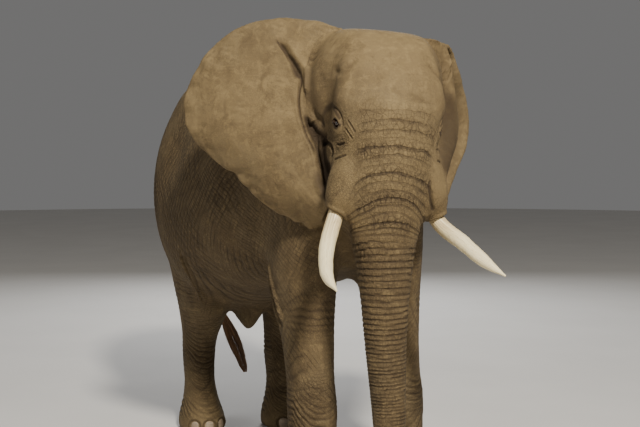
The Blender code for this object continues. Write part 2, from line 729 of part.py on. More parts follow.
def main():
    clear()
    whole = flesh()
    thin_out(whole)
    trim_soles(whole)
    parts = carve_head(whole)
    by_name = {item.name: item for item in parts}
    head = by_name["head"]
    legs = carve_legs(whole)
    parts.extend(legs)
    ears = []
    ears.append(ear("ear_right", -1.0, SPREAD_RIGHT, LIFT_RIGHT, CURL_RIGHT, RIM_RIGHT))
    ears.append(ear("ear_left", 1.0, SPREAD_LEFT, LIFT_LEFT, CURL_LEFT, RIM_LEFT))
    for item in ears:
        boolean(item, grown(head, GAP), "DIFFERENCE")
        boolean(item, grown(by_name["neck"], GAP), "DIFFERENCE")
    tusks = [tusk("tusk_right", TUSK_RIGHT), tusk("tusk_left", TUSK_LEFT)]
    eyes = [eye("eye_right", -1.0), eye("eye_left", 1.0)]
    for item in tusks + eyes:
        boolean(head, grown(item, GAP), "DIFFERENCE")
    tail = tube("tail", TAIL, 9, 8)
    boolean(tail, grown(whole, GAP), "DIFFERENCE")
    tuft = tube("tail_tuft", TUFT, 7, 8)
    boolean(tuft, grown(tail, GAP), "DIFFERENCE")
    parts.extend(ears + [tail])
    claws = []
    for item in legs:
        if item.name == "foot_front_right":
            claws.extend(nails(item, FORELEG, (-0.385, -1.15), FRONT_NAILS, -1.0, 0.200, 0.225))
        if item.name == "foot_front_left":
            claws.extend(nails(item, FORELEG, (0.390, -1.07), FRONT_NAILS, 1.0, 0.200, 0.225))
        if item.name == "foot_hind_right":
            claws.extend(nails(item, HINDLEG, (-0.345, 1.07), HIND_NAILS, -1.0, 0.180, 0.222))
        if item.name == "foot_hind_left":
            claws.extend(nails(item, HINDLEG, (0.335, 0.83), HIND_NAILS, 1.0, 0.180, 0.222))
    for item in parts:
        finish(item, SKIN, 0.85)
    for item in tusks:
        finish(item, IVORY, 0.35)
    for item in eyes:
        finish(item, EYE_BROWN, 0.08)
    for item in claws:
        finish(item, NAIL, 0.55)
    finish(tuft, HAIR, 0.6)
    for item in list(bpy.data.objects):
        tidy(item)


main()
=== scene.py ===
"""African elephant bull, life size: one wrinkled hide over the solids, with eyes, tusks, nails and hair.

The file is laid out as an add-on and is run as a script. The animal faces -Y and +Z is up.
"""

import itertools
import math

import bmesh
import bpy
import numpy as np
from bpy.props import FloatProperty, FloatVectorProperty, IntProperty, PointerProperty
from mathutils import Matrix, Vector
from mathutils.kdtree import KDTree


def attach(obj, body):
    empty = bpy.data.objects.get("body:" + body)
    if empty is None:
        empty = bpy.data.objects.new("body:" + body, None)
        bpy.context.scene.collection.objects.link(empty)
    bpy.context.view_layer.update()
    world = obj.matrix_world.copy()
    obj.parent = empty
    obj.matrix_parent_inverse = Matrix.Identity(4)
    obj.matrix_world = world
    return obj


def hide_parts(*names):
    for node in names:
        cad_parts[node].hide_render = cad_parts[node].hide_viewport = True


bl_info = {
    "name": "African elephant bull",
    "version": (1, 0, 0),
    "blender": (4, 5, 0),
    "location": "View3D > Sidebar > Elephant",
    "description": "Builds the hide, eyes, tusks, toenails and hair of a standing bull elephant",
    "category": "Object",
}

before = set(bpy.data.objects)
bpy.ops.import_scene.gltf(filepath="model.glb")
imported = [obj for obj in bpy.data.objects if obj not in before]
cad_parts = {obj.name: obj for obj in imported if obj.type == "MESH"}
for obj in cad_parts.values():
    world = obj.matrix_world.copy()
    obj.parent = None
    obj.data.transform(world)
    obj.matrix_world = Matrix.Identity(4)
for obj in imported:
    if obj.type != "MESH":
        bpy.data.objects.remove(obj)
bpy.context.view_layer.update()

# ---------------------------------------------------------------- the animal's own frames
SHIFT = np.array((0.1200, 0.3875, 0.0))
HEAD_MIDDLE = (-0.186 + SHIFT[0], -1.615 + SHIFT[1], 2.58)
HEAD_YAW = math.radians(16.0)
HEAD_ROLL = math.radians(4.0)
HEAD_TURN = Matrix.Rotation(-HEAD_YAW, 4, "Z") @ Matrix.Rotation(HEAD_ROLL, 4, "Y")
HEAD = Matrix.Translation(HEAD_MIDDLE) @ HEAD_TURN
HEAD_ARRAY = np.array(HEAD)

FLESH = (
    "torso", "neck", "head", "lower_jaw", "trunk_upper", "trunk_middle", "trunk_lower",
    "trunk_tip", "tail", "leg_front_right_upper", "leg_front_right_lower", "foot_front_right",
    "leg_front_left_upper", "leg_front_left_lower", "foot_front_left",
    "leg_hind_right_upper", "leg_hind_right_lower", "foot_hind_right",
    "leg_hind_left_upper", "leg_hind_left_lower", "foot_hind_left",
)
EARS = ("ear_right", "ear_left")

# front of the face: z, y, in the head's frame
FACE_FRONT = (
    (-0.78, -0.53), (-0.64, -0.545), (-0.50, -0.555), (-0.34, -0.56), (-0.18, -0.545),
    (0.0, -0.50), (0.22, -0.43), (0.40, -0.33), (0.545, -0.19), (0.605, -0.06),
)
# trunk below the root: z, x middle, y middle, half width, half depth
TRUNK = (
    (-0.72, 0.004, -0.345, 0.200, 0.192),
    (-0.92, 0.020, -0.355, 0.172, 0.168),
    (-1.16, 0.038, -0.36, 0.147, 0.147),
    (-1.50, 0.072, -0.365, 0.124, 0.126),
    (-1.80, 0.108, -0.375, 0.108, 0.108),
    (-2.06, 0.130, -0.40, 0.092, 0.090),
    (-2.24, 0.138, -0.47, 0.078, 0.072),
    (-2.32, 0.140, -0.58, 0.070, 0.058),
)
TRUNK_TOP = -0.72
# ear, one side: root x, y, z, then the rim outward, its z spread and its z folded back
EAR = (
    (0.20, 0.17, 0.60, 0.44, 0.655, 0.600),
    (0.31, 0.17, 0.54, 0.71, 0.660, 0.565),
    (0.36, 0.16, 0.44, 0.93, 0.605, 0.40),
    (0.385, 0.14, 0.33, 1.11, 0.475, 0.275),
    (0.39, 0.11, 0.21, 1.24, 0.285, 0.16),
    (0.39, 0.08, 0.08, 1.305, 0.05, 0.04),
    (0.38, 0.04, -0.04, 1.225, -0.17, -0.12),
    (0.365, 0.02, -0.15, 1.02, -0.32, -0.27),
    (0.35, 0.0, -0.24, 0.88, -0.41, -0.39),
    (0.335, -0.02, -0.32, 0.74, -0.555, -0.51),
    (0.32, -0.04, -0.39, 0.58, -0.625, -0.58),
    (0.30, -0.07, -0.45, 0.42, -0.68, -0.63),
    (0.28, -0.09, -0.50, 0.31, -0.665, -0.61),
)
EAR_HINGE = 0.42
EAR_INSIDE = -0.30
EAR_ROOT = 0.034
EAR_RIM = 0.014
EAR_ROWS, EAR_COLUMNS = 90, 70
# side, spread angle, lift, curl, column of the rim's z
EAR_RIGHT = (-1.0, math.radians(68.0), 0.03, 0.10, 4)
EAR_LEFT = (1.0, math.radians(36.5), 0.05, 0.05, 5)

# slope between brow and ear: z, x, y, radius of the balls that fill it
TEMPLE = (
    (0.06, 0.345, 0.005, 0.060), (0.11, 0.355, 0.010, 0.075), (0.17, 0.365, 0.012, 0.088),
    (0.23, 0.370, 0.015, 0.095), (0.29, 0.370, 0.020, 0.098), (0.35, 0.362, 0.025, 0.098),
    (0.41, 0.350, 0.030, 0.095), (0.47, 0.330, 0.040, 0.088), (0.52, 0.300, 0.050, 0.075),
)

# left eye in the head's frame: its middle, the way it looks, the half length, half height and slant of
# the opening between its lids, and the ball's radius
EYE = np.array((0.314, -0.2715, -0.02))
EYE_LOOK = (0.74, -0.67, -0.05)
LID_REACH = 0.0310
LID_GAP = 0.0255
LID_SLANT = 0.25
BALL = 0.0285

# tusk paths: x, y, z, radius in the head's frame
TUSK_RIGHT = (
    (-0.245, -0.29, -0.38, 0.046),
    (-0.306, -0.315, -0.59, 0.049),
    (-0.396, -0.53, -0.83, 0.045),
    (-0.410, -0.69, -0.935, 0.034),
    (-0.388, -0.83, -0.990, 0.006),
)
TUSK_LEFT = (
    (0.275, -0.26, -0.40, 0.046),
    (0.347, -0.305, -0.572, 0.049),
    (0.474, -0.51, -0.710, 0.046),
    (0.558, -0.66, -0.800, 0.036),
    (0.632, -0.79, -0.862, 0.006),
)

# foot middles: name, side, x, y, angles of the nails
FEET = (
    ("front_right", -1.0, -0.265, -0.7325, (-42.0, -8.0, 26.0, 60.0)),
    ("front_left", 1.0, 0.510, -0.6525, (-42.0, -8.0, 26.0, 60.0)),
    ("hind_right", -1.0, -0.225, 1.4875, (-30.0, 6.0, 42.0)),
    ("hind_left", 1.0, 0.455, 1.2475, (-30.0, 6.0, 42.0)),
)
SOLE_HEIGHT = 0.0005

# the animal faces -Y, so that its right side is at -X
RIGHT, LEFT = -1.0, 1.0
SIDES = (RIGHT, LEFT)
FAR = 9.0


# ---------------------------------------------------------------- numbers
def smooth_step(low, high, value):
    """0 below low, 1 above high, smooth between; low may be the larger one."""
    t = np.clip((value - low) / (high - low), 0.0, 1.0)
    return t * t * (3.0 - 2.0 * t)


def bell(value, middle, width):
    """1 at the middle, fading on both sides within about the width."""
    return np.exp(-(((value - middle) / width) ** 2))


def scatter(ix, iy, iz, seed):
    """A steady number from 0 to 1 for each lattice corner."""
    h = ix * 73856093 ^ iy * 19349663 ^ iz * 83492791 ^ (seed * 2654435761 & 0xFFFFFFFF)
    h = (h ^ (h >> 13)) & 0xFFFFFFFF
    h = (h * 1274126177) & 0xFFFFFFFF
    h = (h ^ (h >> 16)) & 0xFFFFFFFF
    h = (h * 668265263) & 0xFFFFFFFF
    return ((h ^ (h >> 15)) & 0xFFFFFF) / float(0x1000000)


def noise(points, size, seed):
    """Soft bumps of about that size, from -1 to 1."""
    q = points / size
    cell = np.floor(q).astype(np.int64)
    f = q - cell
    f = f * f * f * (f * (f * 6.0 - 15.0) + 10.0)
    total = np.zeros(len(points))
    for corner in itertools.product((0, 1), repeat=3):
        wx, wy, wz = (f[:, k] if corner[k] else 1.0 - f[:, k] for k in range(3))
        total += wx * wy * wz * scatter(*(cell + corner).T, seed)
    return total * 2.0 - 1.0


def cloud(points, size, seed, octaves=3):
    """Noise with finer noise on it."""
    total = np.zeros(len(points))
    weight = 1.0
    whole = 0.0
    for k in range(octaves):
        total += weight * noise(points, size / 2.0**k, seed + 17 * k)
        whole += weight
        weight *= 0.5
    return total / whole


def cracks(points, sizes, seed, width):
    """1 on the borders of scattered cells of those sizes, fading to 0 inside them."""
    q = points / np.array(sizes)
    cell = np.floor(q).astype(np.int64)
    near = np.full(len(points), FAR)
    second = near.copy()
    for corner in itertools.product((-1, 0, 1), repeat=3):
        spots = cell + corner
        away = sum((spots[:, k] + 0.1 + 0.8 * scatter(*spots.T, seed + k) - q[:, k]) ** 2 for k in range(3))
        second = np.minimum(second, np.maximum(near, away))
        near = np.minimum(near, away)
    return bell(np.sqrt(second), np.sqrt(near), width)


def folds(phase, width):
    """Broad rounded rolls with narrow grooves at whole numbers of phase: height, and 1 in a groove."""
    f = phase - np.round(phase)
    groove = bell(f, 0.0, width)
    return 0.55 * (0.5 - 0.5 * np.cos(2.0 * math.pi * f)) - 0.55 * groove, groove


def lengths_of(rows):
    """How far along its path each row lies."""
    return np.append(0.0, np.cumsum(np.linalg.norm(np.diff(rows[:, :3], axis=0), axis=1)))


def spread(table, columns, steps):
    """Smooth the stations of a table into evenly spaced rows."""
    rows = np.array([[row[i] for i in columns] for row in table], dtype=float)
    length = lengths_of(rows)
    slope = np.gradient(rows, length, axis=0)
    value = np.linspace(0.0, length[-1], steps)
    i = np.clip(np.searchsorted(length, value, side="right") - 1, 0, len(rows) - 2)
    width = (length[i + 1] - length[i])[:, None]
    t = ((value - length[i])[:, None]) / width
    a = 2 * t**3 - 3 * t**2 + 1
    b = t**3 - 2 * t**2 + t
    c = 3 * t**2 - 2 * t**3
    d = t**3 - t**2
    return a * rows[i] + b * width * slope[i] + c * rows[i + 1] + d * width * slope[i + 1]


def curve_through(points, step):
    """A smooth path through a few points, sampled about every step."""
    rows = np.array(points, dtype=float)
    length = np.linalg.norm(np.diff(rows, axis=0), axis=1).sum()
    return spread(rows, range(rows.shape[1]), max(int(length / step), 4))


def unit(vectors):
    return vectors / np.maximum(np.linalg.norm(vectors, axis=-1, keepdims=True), 1e-12)


def to_head(points):
    return (points - HEAD_ARRAY[:3, 3]) @ HEAD_ARRAY[:3, :3]


def from_head(points):
    return points @ HEAD_ARRAY[:3, :3].T + HEAD_ARRAY[:3, 3]


# ---------------------------------------------------------------- meshes
def points_of(mesh):
    co = np.empty(len(mesh.vertices) * 3, dtype=np.float32)
    mesh.vertices.foreach_get("co", co)
    return co.reshape(-1, 3).astype(float)


def normals_of(mesh):
    out = np.empty(len(mesh.vertices) * 3, dtype=np.float32)
    mesh.vertex_normals.foreach_get("vector", out)
    return out.reshape(-1, 3).astype(float)


def put_points(mesh, points):
    mesh.vertices.foreach_set("co", points.astype(np.float32).ravel())
    mesh.update()


def put_value(mesh, name, values):
    layer = mesh.attributes.get(name) or mesh.attributes.new(name, "FLOAT", "POINT")
    layer.data.foreach_set("value", values.astype(np.float32))


def edges_of(mesh):
    out = np.empty(len(mesh.edges) * 2, dtype=np.int32)
    mesh.edges.foreach_get("vertices", out)
    return out.reshape(-1, 2)


def relax(points, edges, amount, times, back=0.0):
    """Draw each point towards its neighbours; back undoes the shrinking."""
    a = np.concatenate((edges[:, 0], edges[:, 1]))
    b = np.concatenate((edges[:, 1], edges[:, 0]))
    count = len(points)
    many = np.maximum(np.bincount(a, minlength=count), 1.0)
    amount = np.broadcast_to(amount, (count,))
    for turn in range(times):
        for way in (amount, -back * amount) if back else (amount,):
            for axis in range(3):
                mean = np.bincount(a, points[b, axis], minlength=count) / many
                points[:, axis] += way * (mean - points[:, axis])
    return points


def relax_part(points, edges, amount, times):
    """relax, worked out only round the points that may move."""
    keep, index = np.unique(edges[amount[edges].max(1) > 0.0], return_inverse=True)
    points[keep] = relax(points[keep], index.reshape(-1, 2), amount[keep], times)
    return points


def show(name, mesh):
    """A smooth-shaded object that holds the mesh."""
    mesh.shade_smooth()
    piece = bpy.data.objects.new(name, mesh)
    bpy.context.scene.collection.objects.link(piece)
    return piece


def new_piece(name, vertices, faces):
    mesh = bpy.data.meshes.new(name)
    mesh.from_pydata([tuple(v) for v in vertices], [], [tuple(f) for f in faces])
    mesh.validate()
    return show(name, mesh)


def from_bmesh(name, bm):
    mesh = bpy.data.meshes.new(name)
    bm.to_mesh(mesh)
    bm.free()
    return show(name, mesh)


def make_permanent(piece, kind, **settings):
    """Add a modifier and turn its result into the mesh."""
    modifier = piece.modifiers.new(kind.lower(), kind)
    for key, value in settings.items():
        setattr(modifier, key, value)
    graph = bpy.context.evaluated_depsgraph_get()
    mesh = bpy.data.meshes.new_from_object(piece.evaluated_get(graph))
    piece.modifiers.clear()
    old = piece.data
    piece.data = mesh
    bpy.data.meshes.remove(old)
    return piece


# ---------------------------------------------------------------- the smooth body under the wrinkles
def grown_nodes(names, amount):
    """The solids of those names in one bmesh, each a little larger, so that their thin gaps close."""
    bm = bmesh.new()
    for name in names:
        part = bmesh.new()
        part.from_mesh(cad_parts[name].data)
        bmesh.ops.remove_doubles(part, verts=part.verts, dist=1e-6)
        bmesh.ops.recalc_face_normals(part, faces=part.faces)
        part.normal_update()
        moves = [v.normal * (amount * v.calc_shell_factor()) for v in part.verts]
        for vert, move in zip(part.verts, moves):
            vert.co += move
        mesh = bpy.data.meshes.new(name + " grown")
        part.to_mesh(mesh)
        part.free()
        bm.from_mesh(mesh)
        bpy.data.meshes.remove(mesh)
    return bm


def plug(bm, middle, radius):
    """Fill a socket with a ball; the middle is in the head's frame."""
    made = bmesh.ops.create_icosphere(bm, subdivisions=3, radius=radius)
    bmesh.ops.translate(bm, vec=HEAD @ Vector(middle), verts=made["verts"])


def smooth_body(voxel):
    """All flesh but the ears in one closed surface, with the facets worn off and the bulk kept."""
    bm = grown_nodes(FLESH, 0.001)
    for side in SIDES:
        plug(bm, EYE * (side, 1.0, 1.0) + (-0.022 * side, 0.012, 0.0), 0.034)
        # the temples slope from the brow out to the ears
        for z, x, y, radius in TEMPLE:
            plug(bm, (side * x, y, z), radius)
    for path in (TUSK_RIGHT, TUSK_LEFT):
        for x, y, z, radius in spread(path[:2], (0, 1, 2, 3), 10):
            plug(bm, (x, y, z), radius + 0.002)
    body = from_bmesh("hide", bm)
    make_permanent(body, "REMESH", mode="VOXEL", voxel_size=voxel, adaptivity=0.0)
    points = points_of(body.data)
    edges = edges_of(body.data)
    from_middle = np.linalg.norm((to_head(points) + (0.0, 0.05, 0.2)) / (0.5, 0.6, 0.9), axis=1)
    amount = 0.10 + 0.90 * smooth_step(1.25, 1.8, points[:, 2]) * smooth_step(0.95, 1.35, from_middle)
    beside_trunk = smooth_step(-1.25, -1.45, points[:, 1]) * smooth_step(2.2, 2.0, points[:, 2])
    tail = smooth_step(0.16, 0.10, np.abs(points[:, 0] - 0.12)) * smooth_step(1.98, 2.04, points[:, 1])
    for share, least in ((beside_trunk, 0.10), (tail, 0.02)):
        amount = amount * (1.0 - share) + least * share
    scale = (0.02 / voxel) ** 2
    before = points.copy()
    points = relax(points, edges, 0.5 * amount, int(150 * scale) + 1)
    put_points(body.data, points)
    normals = normals_of(body.data)
    lost = ((before - points) * normals).sum(1)
    give = relax(np.repeat(lost[:, None], 3, 1), edges, 0.5, int(60 * scale) + 1)[:, 0]
    put_points(body.data, points + normals * give[:, None])
    make_permanent(body, "SUBSURF", levels=1, render_levels=1)
    return body


# ---------------------------------------------------------------- ears as sheets
def ear_facing(shape):
    """The way the front of the ear faces, and the way outward along it."""
    side, angle = shape[:2]
    facing = np.array((side * math.cos(angle), -math.sin(angle), 0.0))
    return facing, np.cross((0.0, 0.0, 1.0), facing)


def ear_sheet(shape, rows, columns):
    """Points of the ear's middle sheet in the head's frame, and how far across it they are."""
    side, angle, lift, curl, rim = shape
    table = spread(EAR, (0, 1, 2, 3, rim), rows)
    across = np.linspace(EAR_INSIDE, 1.0, columns)[None, :, None]
    root = table[:, None, :3]
    reach = table[:, None, 3] - EAR_HINGE
    edge = np.empty((rows, 1, 3))
    edge[:, :, 0] = EAR_HINGE + reach * math.sin(angle)
    edge[:, :, 1] = 0.12 + reach * math.cos(angle)
    edge[:, :, 2] = table[:, None, 4]
    points = (root + (edge - root) * across) * (side, 1.0, 1.0)
    inner = np.clip(across[..., 0], 0.0, 1.0)
    height = lift * np.sin(math.pi * inner) - curl * inner**2.5
    return points + ear_facing(shape)[0] * height[..., None], inner


def curtain(across, wave, along):
    """Whole numbers at the ridges of the left ear's hanging folds."""
    return across * 2.9 + 0.25 * wave + 0.10 * (along - 0.5)


def ear_relief(shape, points, along, inner):
    """Curtain folds, rim waves and the soft hollows of one ear, forward of its sheet."""
    left = shape[0] == LEFT
    flat = points.reshape(-1, 3)
    wave = noise(flat, 0.30, 4 if left else 3).reshape(inner.shape)
    small = noise(flat, 0.09, 5).reshape(inner.shape)
    rise = 0.010 * (wave * smooth_step(0.2, 0.6, inner) + small * smooth_step(0.75, 1.0, inner))
    if left:
        fold = 0.040 * np.cos(2.0 * math.pi * curtain(inner, wave, along))
        return rise + fold * smooth_step(0.05, 0.2, inner) * smooth_step(1.0, 0.75, inner)
    fold = 0.0015 * np.cos(2.0 * math.pi * (inner * 5.2 + 0.4 * wave))
    return rise + fold * smooth_step(0.02, 0.1, inner) * smooth_step(0.5, 0.2, inner)


def ear_surface(shape, rows, columns):
    """The ear's middle sheet with its folds: points, places along and across, and its own normals."""
    points, inner = ear_sheet(shape, rows, columns)
    facing = ear_facing(shape)[0]
    along = np.linspace(0.0, 1.0, rows)[:, None] * np.ones((1, columns))
    inner = np.broadcast_to(inner, along.shape)
    points = points + facing * ear_relief(shape, points, along, inner)[..., None]
    # the lower rim is nibbled into shallow scallops
    bite = 0.014 * noise((points[:, -1:, :] * (1.0, 1.0, 0.0)).reshape(-1, 3), 0.050, 9)
    points[..., 2] += smooth_step(0.40, 0.55, along) * smooth_step(0.75, 1.0, inner) * bite[:, None]
    normals = unit(np.cross(np.gradient(points, axis=0), np.gradient(points, axis=1)))
    normals *= np.sign((normals * facing).sum(-1))[..., None]
    return points, along, inner, normals


def ear_thickness(inner):
    """Thick at the root, thin at the rim, with a rounded edge."""
    thick = EAR_ROOT + (EAR_RIM - EAR_ROOT) * np.clip(1.6 * inner, 0.0, 1.0)
    return thick * (0.5 + 0.5 * np.sqrt(np.clip((1.0 - inner) / 0.04, 0.0, 1.0)))


def add_ear(bm, shape, rows, columns, extra):
    """The ear as a closed sheet, thicker than it ends up by extra, so that the remesh keeps it whole."""
    points, along, inner, normals = ear_surface(shape, rows, columns)
    half = normals * (0.5 * (ear_thickness(inner) + extra))[..., None]
    front, back = (
        [bm.verts.new(v) for v in from_head((points + way * half).reshape(-1, 3))] for way in (1.0, -1.0)
    )
    for i in range(rows - 1):
        for j in range(columns - 1):
            a = i * columns + j
            b = a + columns
            bm.faces.new((front[a], front[b], front[b + 1], front[a + 1]))
            bm.faces.new((back[a], back[a + 1], back[b + 1], back[b]))
        for j in (0, columns - 1):
            a, b = i * columns + j, (i + 1) * columns + j
            bm.faces.new((front[a], back[a], back[b], front[b]))
    for i in (0, rows - 1):
        for j in range(columns - 1):
            a = i * columns + j
            bm.faces.new((front[a], front[a + 1], back[a + 1], back[a]))


def ear_part(shape, local):
    """How far each point is across (0 root to 1 rim) and along the ear, how near it and how high over it."""
    points, along, inner, normals = ear_surface(shape, EAR_ROWS, EAR_COLUMNS)
    flat = points.reshape(-1, 3)
    tree = KDTree(len(flat))
    for k, point in enumerate(flat):
        tree.insert(point, k)
    tree.balance()
    chosen = np.nonzero((local[:, 0] * shape[0] > 0.26) & (local[:, 1] > -0.16) & (local[:, 2] > -0.80))[0]
    found = np.array([tree.find(local[k])[1:] for k in chosen], dtype=float).reshape(-1, 2)
    which = found[:, 0].astype(int)
    normal = normals.reshape(-1, 3)[which]
    high = ((local[chosen] - flat[which]) * normal).sum(1)
    part = {"normal": np.zeros((len(local), 3)), "gap": np.full(len(local), FAR)}
    part["normal"][chosen] = normal
    part["gap"][chosen] = found[:, 1]
    for name, values in (("across", inner.ravel()[which]), ("along", along.ravel()[which]), ("high", high)):
        part[name] = np.zeros(len(local))
        part[name][chosen] = values
    return part


def thin_ears(points, extra):
    """Give the ears back their own thickness after the remesh."""
    local = to_head(points)
    for shape in (EAR_RIGHT, EAR_LEFT):
        part = ear_part(shape, local)
        thick = ear_thickness(part["across"])
        here = smooth_step(0.06, 0.045, part["gap"]) * smooth_step(0.12, 0.25, part["across"])
        local -= part["normal"] * (extra / (thick + extra) * part["high"] * here)[:, None]
    return from_head(local)


def ease_temples(points, edges, voxel):
    """Turn the corner between the temple and the front of the ear into one slope."""
    x, y, z = to_head(points).T
    amount = smooth_step(0.25, 0.33, np.abs(x)) * smooth_step(0.52, 0.45, np.abs(x))
    amount *= smooth_step(-0.24, -0.14, y) * smooth_step(0.30, 0.22, y)
    amount *= smooth_step(0.04, 0.16, z) * smooth_step(0.62, 0.54, z)
    return relax_part(points, edges, 0.5 * amount, int(420 * (0.0098 / voxel) ** 2) + 1)


def fused_hide(voxel):
    """Body and ears in one skin."""
    body = smooth_body(0.020)
    bm = bmesh.new()
    bm.from_mesh(body.data)
    steps = ((160, 130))
    extra = 1.6 * voxel
    for shape in (EAR_RIGHT, EAR_LEFT):
        add_ear(bm, shape, *steps, extra)
    bmesh.ops.recalc_face_normals(bm, faces=bm.faces)
    bm.to_mesh(body.data)
    bm.free()
    make_permanent(body, "REMESH", mode="VOXEL", voxel_size=voxel, adaptivity=0.0)
    edges = edges_of(body.data)
    points = relax(points_of(body.data), edges, 0.5, 2, 1.02)
    put_points(body.data, ease_temples(thin_ears(points, extra), edges, voxel))
    return body


# ---------------------------------------------------------------- folds drawn one by one
# name, depth, width, lip, one side or both, then the points in the head's frame (x for the right side)
HEAD_CREASES = (
    ("ear hollow", 0.014, 0.012, 0.002, 2, (
        (-0.65, 0.22, 0.50), (-0.61, 0.20, 0.46), (-0.57, 0.18, 0.40), (-0.52, 0.15, 0.32),
        (-0.49, 0.13, 0.26), (-0.49, 0.12, 0.18),
    )),
    ("ear hollow end", 0.01, 0.018, 0.0, 2, (
        (-0.58, 0.19, 0.42), (-0.54, 0.17, 0.36), (-0.51, 0.15, 0.31), (-0.50, 0.14, 0.28),
    )),
    ("ear hinge", 0.016, 0.008, 0.006, 2, (
        (-0.50, 0.13, 0.26), (-0.50, 0.12, 0.18), (-0.50, 0.11, 0.10), (-0.49, 0.08, 0.02),
        (-0.47, 0.06, -0.04), (-0.44, 0.04, -0.12), (-0.41, 0.02, -0.17), (-0.39, 0.0, -0.23),
    )),
    ("behind cheek", 0.05, 0.017, 0.006, 2, (
        (-0.46, 0.07, 0.03), (-0.44, 0.05, -0.03), (-0.42, 0.03, -0.07), (-0.40, 0.02, -0.13),
        (-0.38, 0.0, -0.20), (-0.36, -0.02, -0.28), (-0.35, -0.04, -0.35), (-0.33, -0.07, -0.44),
    )),
    ("behind eye", 0.05, 0.034, 0.0, 2, (
        (-0.44, 0.05, -0.01), (-0.42, 0.04, -0.05), (-0.39, 0.02, -0.09), (-0.36, 0.0, -0.12),
        (-0.34, -0.05, -0.14),
    )),
    ("under eye bulge", 0.016, 0.012, 0.004, 2, (
        (-0.34, -0.03, -0.13), (-0.34, -0.10, -0.14), (-0.34, -0.18, -0.15), (-0.34, -0.21, -0.17),
        (-0.33, -0.23, -0.20), (-0.34, -0.20, -0.24),
    )),
    ("sheath side", 0.03, 0.026, 0.004, 2, (
        (-0.33, -0.10, -0.26), (-0.34, -0.16, -0.33), (-0.35, -0.15, -0.42), (-0.35, -0.13, -0.50),
    )),
    ("sheath inner", 0.012, 0.011, 0.003, 1, (
        (0.24, -0.45, -0.32), (0.24, -0.45, -0.38), (0.26, -0.43, -0.45), (0.29, -0.40, -0.53),
    )),
    ("ear fold", -0.022, 0.022, 0.0, 2, (
        (-0.60, 0.19, 0.52), (-0.56, 0.17, 0.46), (-0.52, 0.14, 0.40), (-0.47, 0.11, 0.32),
        (-0.46, 0.09, 0.25), (-0.45, 0.08, 0.16),
    )),
    ("brow groove", 0.01, 0.024, 0.0, 2, (
        (-0.23, -0.29, 0.39), (-0.29, -0.30, 0.33), (-0.32, -0.27, 0.30), (-0.34, -0.14, 0.31),
    )),
    ("forehead line", 0.005, 0.018, 0.0, 1, (
        (-0.24, -0.29, 0.38), (-0.12, -0.34, 0.40), (0.0, -0.35, 0.39), (0.12, -0.34, 0.41),
    )),
    ("forehead top", 0.004, 0.02, 0.0, 1, (
        (-0.20, -0.24, 0.49), (-0.08, -0.27, 0.51), (0.06, -0.27, 0.50), (0.20, -0.22, 0.48),
    )),
    ("under eye 2", 0.008, 0.007, 0.004, 2, (
        (-0.32, -0.27, -0.15), (-0.30, -0.32, -0.15), (-0.29, -0.36, -0.14),
    )),
    ("under eye 3", 0.008, 0.007, 0.003, 2, (
        (-0.33, -0.27, -0.25), (-0.31, -0.35, -0.23), (-0.28, -0.40, -0.21),
    )),
    ("eye front 1", 0.005, 0.006, 0.002, 2, (
        (-0.29, -0.38, 0.0), (-0.27, -0.41, -0.04), (-0.24, -0.43, -0.08),
    )),
    ("eye front 2", 0.005, 0.006, 0.002, 2, (
        (-0.30, -0.36, -0.05), (-0.28, -0.40, -0.09), (-0.26, -0.42, -0.12),
    )),
    ("mouth", 0.045, 0.02, 0.01, 2, (
        (-0.24, 0.02, -0.50), (-0.20, -0.08, -0.60), (-0.13, -0.14, -0.68), (0.0, -0.16, -0.71),
    )),
    ("chin", 0.012, 0.012, 0.004, 2, (
        (-0.17, 0.10, -0.72), (-0.14, -0.01, -0.77), (-0.09, -0.08, -0.80),
    )),
)
# arcs across the nose and the first rings below it: length down from the fold, strength, tilt
NOSE_ARCS = (
    (-0.95, 0.20, 0.20), (-0.86, 0.25, 0.20), (-0.782, 0.50, 0.22), (-0.723, 0.60, 0.38),
    (-0.665, 0.60, 0.26), (-0.615, 0.30, 0.20), (-0.570, 0.90, 0.14), (-0.516, 0.55, 0.34),
    (-0.465, 0.35, 0.40), (-0.417, 1.00, 0.46), (-0.368, 0.55, 0.60), (-0.318, 0.50, 0.70),
    (-0.268, 1.05, 0.80), (-0.228, 0.50, 0.80), (-0.180, 0.40, 0.78), (-0.120, 1.05, 0.72),
    (-0.085, 0.60, 0.56), (-0.045, 0.55, 0.36), (0.0, 1.10, 0.16), (0.045, 0.8, 0.06),
)
# below them: length down the trunk, distance from ring to ring
RING_GAPS = ((0.0, 0.042), (0.37, 0.038), (0.55, 0.031), (0.75, 0.025), (1.0, 0.022), (1.7, 0.018))
# length down the trunk, height of its rolls
RING_HEIGHTS = (
    (-1.0, 0.0), (-0.80, 0.003), (-0.60, 0.0042), (-0.30, 0.0060), (0.0, 0.0088), (0.4, 0.0072),
    (1.0, 0.0036), (1.8, 0.0024),
)
